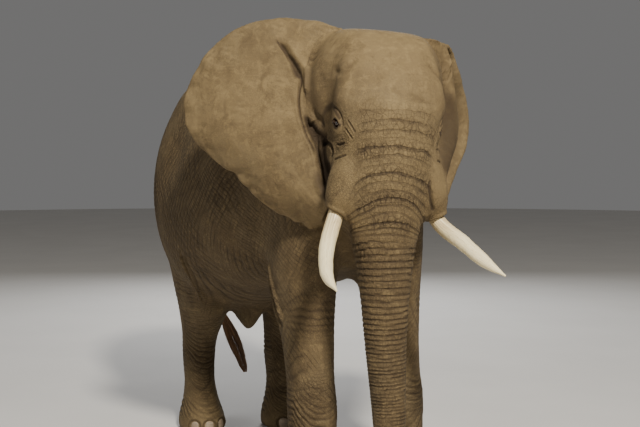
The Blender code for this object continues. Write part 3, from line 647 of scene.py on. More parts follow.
# painted shade in the hollows and on the ears: name, darkness, sides, then x, y, z, reach in the head's
# frame
PAINTED_SHADE_PATHS = (
    ("behind eye", 1.0, 2, (
        (-0.45, 0.09, 0.01, 0.035), (-0.41, 0.08, -0.03, 0.055), (-0.37, 0.06, -0.09, 0.072),
        (-0.34, 0.03, -0.12, 0.066), (-0.33, -0.05, -0.15, 0.044),
    )),
    ("beside cheek", 1.0, 2, (
        (-0.34, -0.02, -0.20, 0.040), (-0.34, -0.04, -0.25, 0.055), (-0.33, -0.06, -0.31, 0.066),
        (-0.33, -0.06, -0.37, 0.066), (-0.31, -0.06, -0.43, 0.060), (-0.32, -0.11, -0.50, 0.035),
    )),
    ("temple", 0.36, 2, (
        (-0.47, 0.07, 0.33, 0.035), (-0.45, 0.06, 0.25, 0.065), (-0.43, 0.05, 0.17, 0.080),
        (-0.42, 0.05, 0.09, 0.085), (-0.41, 0.03, 0.0, 0.080),
    )),
    ("ear hollow", 0.95, 2, (
        (-0.66, 0.22, 0.51, 0.007), (-0.61, 0.20, 0.45, 0.013), (-0.57, 0.18, 0.40, 0.018),
        (-0.53, 0.15, 0.34, 0.031), (-0.51, 0.14, 0.29, 0.026), (-0.49, 0.14, 0.27, 0.010),
    )),
    ("under brow", 0.85, 2, (
        (-0.35, 0.0, -0.03, 0.018), (-0.35, -0.02, 0.03, 0.022), (-0.35, -0.08, 0.07, 0.024),
        (-0.34, -0.20, 0.09, 0.022), (-0.34, -0.28, 0.06, 0.018), (-0.32, -0.32, 0.01, 0.012),
    )),
    ("top of the ear", 0.22, 2, (
        (-0.78, 0.27, 0.50, 0.120), (-0.69, 0.22, 0.40, 0.140), (-0.62, 0.20, 0.36, 0.090),
    )),
    ("folds of the left ear", 0.85, 1, (
        (0.50, 0.15, 0.27, 0.060), (0.53, 0.22, 0.18, 0.100), (0.56, 0.22, 0.08, 0.110),
        (0.57, 0.20, -0.02, 0.110), (0.56, 0.16, -0.12, 0.110), (0.55, 0.13, -0.22, 0.090),
    )),
)
# long folds of the body: name, depth, width, lip, then the points
BODY_CREASES = (
    ("elbow flap right", 0.022, 0.016, 0.02, (
        (-0.46, -0.34, 1.62), (-0.45, -0.44, 1.48), (-0.45, -0.52, 1.36), (-0.45, -0.60, 1.22),
    )),
    ("elbow flap left", 0.022, 0.016, 0.02, (
        (0.62, -0.26, 1.60), (0.66, -0.36, 1.46), (0.68, -0.45, 1.34), (0.67, -0.52, 1.20),
    )),
    ("groin right", 0.02, 0.02, 0.016, (
        (-0.62, 0.85, 1.62), (-0.58, 0.92, 1.42), (-0.50, 0.98, 1.26), (-0.40, 1.02, 1.14),
    )),
    ("groin left", 0.02, 0.02, 0.016, (
        (0.80, 0.72, 1.62), (0.76, 0.78, 1.42), (0.70, 0.82, 1.26), (0.60, 0.88, 1.14),
    )),
    ("shoulder right", 0.012, 0.03, 0.006, (
        (-0.60, -0.30, 2.62), (-0.66, -0.22, 2.30), (-0.68, -0.20, 2.00), (-0.64, -0.24, 1.74),
    )),
    ("shoulder left", 0.012, 0.03, 0.006, (
        (0.84, -0.30, 2.62), (0.90, -0.22, 2.30), (0.92, -0.20, 2.00), (0.88, -0.24, 1.74),
    )),
    ("neck right 1", 0.016, 0.018, 0.01, (
        (-0.42, -0.86, 2.80), (-0.48, -0.82, 2.50), (-0.46, -0.86, 2.20),
    )),
    ("neck right 2", 0.012, 0.016, 0.008, (
        (-0.44, -0.74, 2.86), (-0.52, -0.70, 2.50), (-0.50, -0.74, 2.12),
    )),
    ("neck left 1", 0.016, 0.018, 0.01, (
        (0.46, -0.86, 2.86), (0.54, -0.82, 2.50), (0.52, -0.86, 2.20),
    )),
    ("neck left 2", 0.012, 0.016, 0.008, (
        (0.50, -0.74, 2.86), (0.60, -0.70, 2.50), (0.60, -0.74, 2.12),
    )),
    ("tail root right", 0.016, 0.02, 0.008, (
        (-0.02, 1.86, 2.66), (-0.04, 1.95, 2.44), (0.0, 2.00, 2.20), (0.03, 1.95, 1.90),
    )),
    ("tail root left", 0.016, 0.02, 0.008, (
        (0.26, 1.86, 2.66), (0.28, 1.95, 2.44), (0.24, 2.00, 2.20), (0.21, 1.95, 1.90),
    )),
)


# painted shade: keeps the darkest value so far for each point in dark, which the material draws in the
# crease colour; it stands for shade in grooves, cracks and hollows, partly the damp skin in them that holds
# less dust
def paint_shade(state, chosen, amount):
    state["dark"][chosen] = np.maximum(state["dark"][chosen], amount)


def press_crease(state, near, path, depth, width, lip):
    """Sink a groove along a path, with a raised lip on both sides, fading at its two ends."""
    line = curve_through(path, max(width * 0.6, 0.006))
    low = line.min(0) - 5.0 * width
    high = line.max(0) + 5.0 * width
    chosen = np.nonzero(((state[near] > low) & (state[near] < high)).all(1))[0]
    if not len(chosen):
        return
    points = state[near][chosen]
    normals = state["normals " + near][chosen]
    best = np.full(len(chosen), FAR)
    where = np.zeros(len(chosen))
    for k, spot in enumerate(line):
        away = points - spot
        rise = (away * normals).sum(1)
        flat = np.linalg.norm(away - normals * rise[:, None], axis=1)
        flat += 0.5 * np.maximum(np.abs(rise) - 0.03, 0.0)
        closer = flat < best
        best[closer] = flat[closer]
        where[closer] = k / (len(line) - 1.0)
    ends = 0.15 + 0.85 * (smooth_step(0.0, 0.12, where) * smooth_step(1.0, 0.88, where))
    # skin that faces the other way, such as an ear's back, is left alone
    nearest = normals[np.argmin(np.linalg.norm(points - line[len(line) // 2], axis=1))]
    ends *= smooth_step(-0.3, 0.2, normals @ nearest)
    groove = bell(best, 0.0, width) * ends
    state["rise"][chosen] += -depth * groove + lip * bell(best, 2.0 * width, width) * ends
    # painted shade in the groove, more in deep, narrow grooves
    paint_shade(state, chosen, groove * min(1.0, max(0.0, 1.3 * depth / width - 0.35)))


def drawn_folds(state):
    for name, depth, width, lip, sides, path in HEAD_CREASES:
        for side in (1.0, -1.0)[:sides]:
            press_crease(state, "local", np.array(path) * (side, 1.0, 1.0), depth, width, lip)
    for name, depth, width, lip, path in BODY_CREASES:
        press_crease(state, "points", path, depth, width, lip)


def shade_hollows(points, dark):
    """Paint shade into the bottoms of the deep hollows, onto the top of each ear and into the folds of the
    left ear.
    """
    local = to_head(points)
    for name, amount, sides, path in PAINTED_SHADE_PATHS:
        for side in (1.0, -1.0)[:sides]:
            spots = curve_through(np.array(path) * (side, 1.0, 1.0, 1.0), 0.012)
            near = np.nonzero(np.abs(local[:, 0] - spots[:, 0].mean()) < 0.3)[0]
            for spot in spots:
                away = np.linalg.norm(local[near] - spot[:3], axis=1) / spot[3]
                dark[near] = np.maximum(dark[near], amount * np.exp(-(away**4)))


# ---------------------------------------------------------------- where each part of the hide is
def trunk_line():
    """The middle of the trunk, its radius and its length from the fold, in the head's frame."""
    rows = spread(TRUNK, (1, 2, 0, 3, 4), 160)
    return rows, lengths_of(rows)


def survey(points, normals):
    """Everything the folds need to know about each point of the hide."""
    local = to_head(points)
    x, y, z = local.T
    count = len(points)
    state = {"points": points, "normals points": normals, "local": local}
    state["normals local"] = normals @ HEAD_ARRAY[:3, :3]
    for name in ("trunk", "ear", "across", "along", "front of ear", "sway", "legs", "rise", "dark"):
        state[name] = np.zeros(count)
    # the trunk: how far down it and how far behind its front
    rows, length = trunk_line()
    low = np.nonzero((z < TRUNK_TOP + 0.10) & (np.abs(x - 0.07) < 0.5) & (y < 0.1) & (y > -1.0))[0]
    best = np.full(len(low), FAR)
    which = np.zeros(len(low), dtype=int)
    for k, row in enumerate(rows):
        away = np.linalg.norm(local[low] - row[:3], axis=1)
        closer = away < best
        best[closer] = away[closer]
        which[closer] = k
    on_trunk = best < rows[which, 3] * 1.35 + 0.03
    state["trunk"][low] = smooth_step(TRUNK_TOP + 0.08, TRUNK_TOP - 0.06, z[low]) * on_trunk
    down = np.where(z > TRUNK_TOP, TRUNK_TOP - z, 0.0)
    down[low] = np.where(on_trunk & (z[low] <= TRUNK_TOP), length[which], down[low])
    state["down"] = down
    front = np.interp(z, *np.array(FACE_FRONT).T)
    trunk_front = np.interp(-z, [-row[0] for row in TRUNK], [row[2] - row[4] for row in TRUNK])
    state["back"] = y - np.where(z < TRUNK_TOP, trunk_front, front)
    # the head, with the temples
    centre = np.linalg.norm((local + (0.0, 0.12, 0.05)) / (0.46, 0.52, 0.80), axis=1)
    face = smooth_step(-0.05, -0.15, y) * smooth_step(0.50, 0.42, np.abs(x)) * smooth_step(-0.95, -0.75, z)
    temple = smooth_step(0.32, 0.24, y) * smooth_step(0.58, 0.52, np.abs(x)) * smooth_step(-0.75, -0.60, z)
    head = np.maximum.reduce((smooth_step(1.12, 0.95, centre), face, temple)) * (1.0 - state["trunk"])
    for shape in (EAR_RIGHT, EAR_LEFT):
        part = ear_part(shape, local)
        here = smooth_step(0.045, 0.032, part["gap"]) * smooth_step(0.0, 0.08, part["across"])
        chosen = here > state["ear"]
        state["ear"] = np.maximum(state["ear"], here)
        state["across"][chosen] = part["across"][chosen]
        state["along"][chosen] = part["along"][chosen]
        state["front of ear"][chosen] = np.sign(part["high"][chosen])
    state["head"] = head * (1.0 - state["ear"])
    # the legs, each round its own foot
    nearest = np.full(count, FAR)
    height = points[:, 2]
    reach = 0.34 + 0.10 * smooth_step(0.9, 1.4, height)
    for foot in FEET:
        away = np.hypot(points[:, 0] - foot[2], points[:, 1] - foot[3])
        # the level folds of a leg hang lowest in front and rise round its sides
        turn = np.abs(np.arctan2(points[:, 0] - foot[2], foot[3] - points[:, 1]))
        rise = -0.07 * np.minimum(turn, 1.5) ** 2 * smooth_step(1.2, 0.7, height)
        state["sway"] = np.where(away < nearest, rise, state["sway"])
        top = 1.55 if foot[0].startswith("hind") else 1.75
        top = smooth_step(top, top - 0.40, height)
        state["legs"] = np.maximum(state["legs"], smooth_step(reach + 0.06, reach - 0.04, away) * top)
        nearest = np.minimum(nearest, away)
    tail = smooth_step(0.20, 0.14, np.abs(points[:, 0] - 0.14)) * smooth_step(1.96, 2.02, points[:, 1])
    state["tail"] = tail
    state["legs"] = state["legs"] * (1.0 - tail) * (1.0 - state["trunk"])
    others = [state[name] for name in ("trunk", "head", "ear", "legs", "tail")]
    state["body"] = 1.0 - np.maximum.reduce(others)
    return state


def add_rolls(state, chosen, phase, width, height, dark=1.0):
    """Put rolls and grooves on the chosen points, with painted shade in the grooves."""
    rise, groove = folds(phase, width)
    state["rise"][chosen] += rise * height
    paint_shade(state, chosen, groove * np.clip(height / 0.004, 0.0, 1.0) * dark)


def some_of(p, low, high, size, seed):
    """1 in patches of about that size and 0 between them."""
    return smooth_step(low, high, noise(p, size, seed))


# ---------------------------------------------------------------- wrinkles by region
def ring_table():
    """Where each ring of the trunk lies, how strong it is, and how much it tilts."""
    rings = list(NOSE_ARCS)
    place = rings[-1][0]
    while place < 2.1:
        place += np.interp(place, *np.array(RING_GAPS).T)
        count = len(rings) - len(NOSE_ARCS) + 1
        rings.append((place, 0.75 + 0.35 * scatter(count, 0, 0, 6), 0.0))
    return np.array(rings)


def trunk_rolls(state):
    """Arcs across the nose that close into rings down the trunk."""
    rings = ring_table()
    count = np.arange(len(rings))
    p = state["local"]
    down = state["down"]
    back = np.clip(state["back"], 0.0, 0.6)
    round_nose = 0.27 * (1.0 - np.sqrt(np.clip(1.0 - ((p[:, 0] - 0.015) / 0.275) ** 2, 0.02, 1.0)))
    fall = np.where(down < 0.0, np.maximum(back, round_nose), back)
    along = down - np.interp(down, rings[:, 0], rings[:, 2]) * fall
    phase = np.interp(along, rings[:, 0], count) + 0.22 * noise(p, 0.19, 21) + 0.12 * noise(p, 0.055, 22)
    state["ring"] = phase
    strength = np.interp(phase, count, rings[:, 1]) * (0.85 + 0.30 * noise(p, 0.09, 23))
    face = smooth_step(0.30, 0.20, np.abs(p[:, 0] - 0.01)) * smooth_step(0.36, 0.22, back)
    blend = smooth_step(-0.06, 0.08, down)
    share = np.maximum(state["trunk"], state["head"]) * (face * (1.0 - blend) + blend)
    state["on rings"] = share * smooth_step(-1.0, -0.78, down) * np.clip(strength, 0.0, 1.1)
    height = np.interp(down, *np.array(RING_HEIGHTS).T) * state["on rings"]
    chosen = np.nonzero(height > 1e-5)[0]
    width = np.interp(down, (0.0, 0.4, 0.9), (0.14, 0.18, 0.27))[chosen]
    add_rolls(state, chosen, phase[chosen], width, height[chosen], 0.8)
    # forks: a second groove half way between, only here and there
    some = some_of(p[chosen], 0.05, 0.55, 0.12, 25) * smooth_step(0.5, 0.2, down[chosen])
    add_rolls(state, chosen, phase[chosen] + 0.5, 0.16, 0.5 * height[chosen] * some, 0.8)


def cross_cracks(state):
    """Small cracks that cut the rolls of the nose and trunk into blocks."""
    share = np.clip(state["on rings"], 0.0, 1.0)
    chosen = np.nonzero(share > 0.05)[0]
    p = state["local"][chosen]
    p = p + 0.010 * noise(p, 0.05, 31)[:, None]
    size = 0.030
    line = cracks(p, (size, size, size * 1.9), 33, 0.18) * share[chosen]
    depth = 0.0042 * np.interp(state["down"][chosen], (-0.9, -0.5, 0.0, 0.4), (0.5, 1.0, 0.9, 0.25))
    state["rise"][chosen] -= depth * line
    # painted shade in the cracks
    paint_shade(state, chosen, 130.0 * depth * line)


def hide_cracks(state):
    """The net of small cells that covers all of the hide, faintly on the ears and the forehead."""
    p = state["points"]
    q = p + 0.012 * np.stack([noise(p, 0.07, 41 + k) for k in range(3)], 1)
    size = 0.022
    forehead = smooth_step(0.05, 0.20, state["local"][:, 2]) * state["head"]
    patch = 0.35 + 0.65 * some_of(p, -0.35, 0.35, 0.22, 47)
    share = patch * (1.0 - 0.80 * forehead) * (1.0 - 0.85 * state["ear"])
    line = 0.0007 * share * cracks(q, (size, size, size), 44, 0.13)
    state["rise"] -= line
    # painted shade in the cracks
    paint_shade(state, slice(None), line / 0.0030)


def flank_folds(state):
    """Two crossing families of slack folds on the body, steeper towards the legs."""
    chosen = np.nonzero(state["body"] > 0.02)[0]
    p = state["points"][chosen]
    y, z = p[:, 1], p[:, 2]
    share = state["body"][chosen]
    big = noise(p, 0.55, 51)
    lower = smooth_step(2.95, 2.2, z)
    place = (0.45 + 0.55 * lower) * smooth_step(1.15, 1.55, z) * (0.4 + 0.6 * smooth_step(-0.35, 0.0, y))
    for slope, size, seed, height in ((1.25, 0.050, 52, 0.0036), (-1.05, 0.064, 57, 0.0030)):
        bend = (slope * (y - 0.3) + 0.9 * (z - 2.0)) / math.hypot(slope, 0.9)
        phase = bend / size + 0.35 * big + 0.35 * noise(p, 0.17, seed) + 0.2 * noise(p, 0.06, seed + 1)
        some = smooth_step(-0.35, 0.45, noise(p, 0.26, seed + 2) + 0.25 * lower)
        add_rolls(state, chosen, phase, 0.16, height * some * share * place, 0.8)
    # the neck hangs in upright folds behind the ears
    neck = smooth_step(-0.40, -0.70, y) * smooth_step(3.12, 2.95, z) * smooth_step(1.80, 2.20, z)
    phase = (y + 0.15 * np.abs(p[:, 0] - 0.1)) / 0.085 + 0.7 * noise(p, 0.30, 65) + 0.2 * noise(p, 0.08, 66)
    add_rolls(state, chosen, phase, 0.15, 0.0085 * neck * share)
    # slack skin between the hind legs, the belly and the flank
    phase = ((y - 0.8) * 0.8 + (z - 1.3) * 0.6) / 0.07 + 0.6 * noise(p, 0.2, 67)
    add_rolls(state, chosen, phase, 0.16, 0.0040 * bell(y, 0.78, 0.28) * bell(z, 1.35, 0.30) * share)


def leg_folds(state):
    """Level wrinkles round the legs, deepest over the wrists, knees and feet."""
    chosen = np.nonzero(state["legs"] > 0.02)[0]
    p = state["points"][chosen]
    z = p[:, 2]
    share = state["legs"][chosen]
    lean = 0.25 * noise(p, 0.5, 71)
    joint = np.where(p[:, 1] < 0.3, 0.12, 0.30)
    for much, middle, width in ((1.20, 0.64, 0.12), (0.55, 0.24, 0.10), (0.30, 1.30, 0.16)):
        joint = joint + much * bell(z, middle, width)
    for size, seed, height in ((0.046, 72, 0.0078), (0.028, 76, 0.0026)):
        phase = (z + state["sway"][chosen]) / size + 1.5 * lean
        phase += 0.4 * noise(p, 0.14, seed) + 0.22 * noise(p, 0.05, seed + 1)
        some = 0.25 + 0.75 * some_of(p, -0.25, 0.4, 0.19, seed + 2)
        height = height * some * joint * share * smooth_step(0.05, 0.16, z)
        add_rolls(state, chosen, phase, 0.18, height, 0.9)
    # slanting lines that cross them
    for slope, seed in ((1.0, 81), (-1.0, 84)):
        phase = (z + slope * (p[:, 0] + p[:, 1])) / 0.085 + 0.8 * noise(p, 0.2, seed)
        some = some_of(p, 0.0, 0.5, 0.25, seed + 1)
        add_rolls(state, chosen, phase, 0.12, 0.0032 * some * share * smooth_step(0.2, 0.4, z), 0.8)


def tail_rings(state):
    chosen = np.nonzero(state["tail"] > 0.02)[0]
    p = state["points"][chosen]
    phase = p[:, 2] / 0.045 + 0.3 * noise(p, 0.08, 91)
    add_rolls(state, chosen, phase, 0.15, 0.0024 * state["tail"][chosen], 0.8)


def ear_skin(state):
    """Veins that branch from the root, radial creases, crumpled patches and the front's curtain lines."""
    chosen = np.nonzero(state["ear"] > 0.02)[0]
    p = state["local"][chosen]
    share, across, along = (state[name][chosen] for name in ("ear", "across", "along"))
    front = smooth_step(-0.2, 0.2, state["front of ear"][chosen])
    # veins on the back are strong and on the front faint
    rays = (along + 0.05 * noise(p, 0.25, 101) + 0.02 * noise(p, 0.08, 102)) * 13.0
    rays += 0.8 * noise(p, 0.22, 103) * across
    vein = bell(rays, np.round(rays), 0.10) * smooth_step(0.05, 0.2, across) * smooth_step(1.0, 0.7, across)
    rise = (0.0012 + 0.0028 * (1.0 - front)) * vein
    # a crumpled patch near the upper rim and ripples along the lower rim
    rise += 0.009 * bell(across, 0.86, 0.12) * bell(along, 0.36, 0.10) * noise(p, 0.045, 111)
    rise += 0.007 * smooth_step(0.80, 1.0, across) * smooth_step(0.42, 0.60, along) * noise(p, 0.06, 112)
    rise += 0.0030 * noise(p, 0.10, 113)
    state["rise"][chosen] += rise * share
    # painted shade in the valleys of the left ear's curtain folds
    valley_shade = 0.5 - 0.5 * np.cos(2.0 * math.pi * curtain(across, noise(p, 0.30, 4), along))
    paint_shade(state, chosen, 0.55 * valley_shade * (p[:, 0] > 0) * share * smooth_step(1.0, 0.85, across))
    # faint level and radial creases
    level = 0.0016 * some_of(p, 0.0, 0.6, 0.16, 106) * share
    add_rolls(state, chosen, across * 11.0 + 1.2 * noise(p, 0.2, 105), 0.10, level, 0.5)
    radial = 0.0018 * some_of(p, 0.1, 0.6, 0.14, 109) * share
    add_rolls(state, chosen, along * 26.0 + 1.4 * noise(p, 0.2, 108), 0.12, radial, 0.5)
    # upright folds where the ear meets the temple
    root = 0.0020 * smooth_step(0.16, 0.03, across) * share
    add_rolls(state, chosen, p[:, 0] * 45.0 + 0.8 * noise(p, 0.15, 114), 0.20, root, 0.5)


def temple_folds(state):
    """Slack folds between the ear, the temple and the cheek."""
    x, y, z = state["local"].T
    share = state["head"] * smooth_step(-0.16, 0.0, y) * smooth_step(0.50, 0.40, z)
    chosen = np.nonzero(share > 0.02)[0]
    p = state["local"][chosen]
    phase = (0.5 * p[:, 1] - 0.8 * np.abs(p[:, 0]) + 0.15 * p[:, 2]) / 0.024
    phase += 0.7 * noise(p, 0.16, 121) + 0.2 * noise(p, 0.05, 122)
    some = 0.3 + 0.7 * some_of(p, -0.3, 0.3, 0.14, 123)
    add_rolls(state, chosen, phase, 0.19, 0.0044 * some * share[chosen], 0.5)


def cheek_bumps(state):
    """Pebbled skin under and in front of the eye, and level forehead lines."""
    x, y, z = state["local"].T
    side = np.abs(x)
    under = bell(side, 0.33, 0.10) * bell(y, -0.17, 0.12) * bell(z, -0.10, 0.10)
    before = 0.8 * bell(side, 0.30, 0.10) * bell(y, -0.33, 0.09) * bell(z, -0.17, 0.10)
    share = np.maximum(under, before)
    chosen = np.nonzero(share > 0.03)[0]
    p = state["local"][chosen]
    line = cracks(p + 0.006 * noise(p, 0.03, 131)[:, None], (0.021, 0.021, 0.018), 132, 0.24) * share[chosen]
    state["rise"][chosen] -= 0.0045 * line
    # painted shade in the cracks between the pebbles
    paint_shade(state, chosen, 0.7 * line)
    brow = smooth_step(0.20, 0.30, z) * smooth_step(0.52, 0.44, z)
    brow *= state["head"] * smooth_step(0.05, -0.1, y)
    chosen = np.nonzero(brow > 0.02)[0]
    p = state["local"][chosen]
    phase = p[:, 2] / 0.050 + 0.6 * noise(p, 0.25, 135) + 0.25
    add_rolls(state, chosen, phase, 0.20, 0.0050 * some_of(p, -0.2, 0.6, 0.20, 136) * brow[chosen], 0.15)


def line_fields(state):
    """Slowly changing numbers whose whole values are the fine wrinkles that the material draws."""
    x, y, z = state["points"].T
    big = noise(state["points"], 0.60, 151)
    middle = 0.6 * noise(state["points"], 0.20, 152)
    side = np.where(x < 0.14, -1.0, 1.0)
    sag = 0.10 * np.cos(2.2 * (y - 0.35))
    state["slant"] = (0.80 * (z + sag) - 0.60 * y) / 0.025 + 0.5 * big + 0.75 * middle
    state["cross"] = (0.55 * z + 0.80 * y + 0.25 * side * x) / 0.036 + 0.6 * big + middle
    state["level"] = (z + state["sway"]) / 0.024 + 0.5 * big + middle
    state["fore"] = (0.72 * side * -x - 0.38 * y + 0.57 * z) / 0.026 + 0.5 * big + middle


# ---------------------------------------------------------------- sculpted places
def eye_frame(side):
    """Middle of the eyeball, and the ways forward along the face, up and out."""
    out = unit(np.array(EYE_LOOK) * (side, 1.0, 1.0))
    forward = unit(np.cross((0.0, 0.0, 1.0), out))
    forward = -forward if forward[1] > 0 else forward
    up = np.cross(out, forward)
    return EYE * (side, 1.0, 1.0), forward, up if up[2] > 0 else -up, out


def on_eye(side, local):
    """Places along and up the lids, and out from the ball's middle."""
    middle, forward, up, out = eye_frame(side)
    away = local - middle
    a = away @ forward
    return a, away @ up + LID_SLANT * a, away @ out


def lid_gap(a):
    """Half height of the opening between the lids at a place along it."""
    return LID_GAP * np.clip(1.0 - (a / LID_REACH) ** 2, 0.0, 1.0) ** 0.75


# folds round the eye: place, depth, width, strength above and below
EYE_RINGS = (
    (0.60, 0.0012, 0.05, 1.0, 0.6), (0.74, 0.0018, 0.06, 1.0, 0.9), (1.02, 0.0150, 0.15, 1.0, 0.45),
    (1.32, 0.0040, 0.10, 0.6, 0.7), (1.60, 0.0030, 0.10, 0.3, 0.6),
)


def shape_eyes(points, dark):
    """Swell the socket, ring it with folds, lay the lids over the ball and paint shade into the folds and
    round the opening.
    """
    local = to_head(points)
    for side in SIDES:
        middle, forward, up, out = eye_frame(side)
        chosen = np.nonzero((eye_distance(local, side) < 0.24) & ((local - middle) @ out > -0.08))[0]
        a, b, h = on_eye(side, local[chosen])
        fade = smooth_step(0.22, 0.15, np.hypot(a, b))
        rise = 0.020 * np.exp(-((((a + 0.024) / 0.076) ** 2 + ((b + 0.002) / 0.090) ** 2) ** 1.7))
        ring = np.hypot((a + 0.022) / 0.076, b / np.where(b > 0, 0.092, 0.088))
        patchy = 0.75 + 0.25 * noise(local[chosen], 0.03, 141)
        fold_shade = np.zeros(len(a))
        for radius, depth, width, upper, lower in EYE_RINGS:
            line = bell(ring, radius, width) * (np.where(b > 0, upper, lower) * patchy)
            rise = rise - depth * line
            fold_shade = np.maximum(fold_shade, line * min(1.0, depth / 0.006))
        h = h + rise * fade
        # the lids lie on the ball
        reach = np.hypot(a, b)
        lid = np.sqrt(np.clip(BALL**2 - a**2 - b**2, 0.0, 1.0)) + 0.0048
        over = smooth_step(0.062, 0.040, reach)
        h = np.where(reach < 0.062, np.maximum(h, lid) * over + h * (1.0 - over), h)
        edge = np.abs(b) - lid_gap(a)
        h = h + 0.0020 * bell(edge, 0.003, 0.003) * (reach < 0.04)
        inside = smooth_step(0.0012, -0.0012, edge) * (np.abs(a) < LID_REACH)
        h = h * (1.0 - inside) - 0.012 * inside
        moved = a[:, None] * forward + (b - LID_SLANT * a)[:, None] * up + h[:, None] * out
        local[chosen] = middle + moved
        # painted shade round the opening between the lids, partly the lids' own dark skin
        rim = smooth_step(np.where(b > 0, 0.013, 0.027), 0.002, edge) * smooth_step(0.050, 0.042, reach)
        dark[chosen] = np.maximum.reduce((dark[chosen], 0.8 * fold_shade * fade, rim))
    return from_head(local)


def shape_trunk_tip(points, dark):
    """Two nostrils in the end of the trunk, between its two fingers."""
    local = to_head(points)
    rows = trunk_line()[0]
    tip = rows[-1, :3]
    way = unit(tip - rows[-8, :3])
    side = np.array((1.0, 0.0, 0.0))
    up = unit(np.cross(side, way))
    away = local - tip
    chosen = np.nonzero((np.linalg.norm(away, axis=1) < 0.13) & (away @ way > -0.03))[0]
    a = away[chosen] @ side
    b = away[chosen] @ up
    holes = [np.exp(-((((a - hole) / 0.017) ** 2 + (b / 0.021) ** 2) ** 2)) for hole in (-0.025, 0.025)]
    dip = np.maximum(*holes)
    local[chosen] -= way * (0.055 * dip)[:, None]
    # painted shade in the nostrils
    dark[chosen] = np.maximum(dark[chosen], dip)
    return from_head(local)


def tusk_lips(state):
    """The skin swells into a lip round each tusk and dips where it meets the ivory."""
    local = state["local"]
    for path in (TUSK_RIGHT, TUSK_LEFT):
        line = spread(path, (0, 1, 2, 3), 40)[:24]
        near = np.nonzero(np.linalg.norm(local - line[12, :3], axis=1) < 0.45)[0]
        away = np.full(len(local), FAR)
        for spot in line:
            gap = np.linalg.norm(local[near] - spot[:3], axis=1) - spot[3]
            away[near] = np.minimum(away[near], gap)
        state["rise"] += 0.010 * (bell(away, 0.022, 0.012) - bell(away, 0.002, 0.007))
        # painted shade where the skin meets the ivory
        state["dark"] = np.maximum(state["dark"], 0.9 * bell(away, 0.002, 0.009))


def nail_spots(foot):
    """Middle, outward way and across way of each toenail of a foot."""
    name, side, x, y, angles = foot
    wide, long = (0.200, 0.225) if name.startswith("front") else (0.180, 0.222)
    for angle in angles:
        a = math.radians(angle) * side
        out = Vector((math.sin(a) / wide, -math.cos(a) / long, 0.0)).normalized()
        middle = Vector((x + wide * math.sin(a), y - 0.0175 - long * math.cos(a), 0.062))
        yield middle, out, Vector((0, 0, 1)).cross(out)


def nail_beds(state):
    """A rolled cuticle round each toenail."""
    low = np.nonzero(state["points"][:, 2] < 0.30)[0]
    for middle, out, wide in itertools.chain.from_iterable(nail_spots(foot) for foot in FEET):
        away = state["points"][low] - np.array(middle)
        a = away @ np.array(wide) / 0.058
        b = away[:, 2] / 0.056
        c = away @ np.array(out) / 0.06
        ring = np.sqrt(a * a + b * b + 0.3 * c * c)
        here = np.abs(c) < 1.6
        state["rise"][low] += here * 0.010 * bell(ring, 1.25, 0.18) * smooth_step(-0.6, 0.2, b)
        state["rise"][low] -= here * 0.012 * np.exp(-((ring / 0.85) ** 4))
        # painted shade in the fold round the nail
        paint_shade(state, low, here * 0.8 * bell(ring, 1.0, 0.10))


# ---------------------------------------------------------------- the hide's map
def broad_normals(mesh):
    """Normals with the wrinkles smoothed out of them."""
    return unit(relax(normals_of(mesh), edges_of(mesh), 0.5, 24))


def face_corners(mesh):
    """The vertex of each corner, and how many corners each face has."""
    vertex = np.empty(len(mesh.loops), dtype=np.int32)
    mesh.loops.foreach_get("vertex_index", vertex)
    total = np.empty(len(mesh.polygons), dtype=np.int32)
    mesh.polygons.foreach_get("loop_total", total)
    return vertex, total


def put_map(mesh, places):
    layer = mesh.uv_layers.new(name="OFBake")
    layer.uv.foreach_set("vector", places.astype(np.float32).ravel())


def shelve(sizes):
    """Corners of boxes of those sizes, set on shelves in a square, and the square's side."""
    order = sorted(range(len(sizes)), key=lambda k: -sizes[k][1])
    side = math.sqrt(sum(w * h for w, h in sizes)) * 1.02
    while True:
        places = {}
        x = y = tall = 0.0
        for k in order:
            w, h = sizes[k]
            if x + w > side:
                x, y, tall = 0.0, y + tall, 0.0
            places[k] = (x, y)
            x += w
            tall = max(tall, h)
        if y + tall <= side and max(w for w, h in sizes) <= side:
            return places, side
        side *= 1.02


# parts of the hide's map: 0 body, 1 head, 2 trunk, 3 to 6 legs, 7 and 8 ears, 9 tail
MAP_HEAD = (1, 2)
MAP_EARS = {7: EAR_RIGHT, 8: EAR_LEFT}
MAP_MARGIN = 0.02


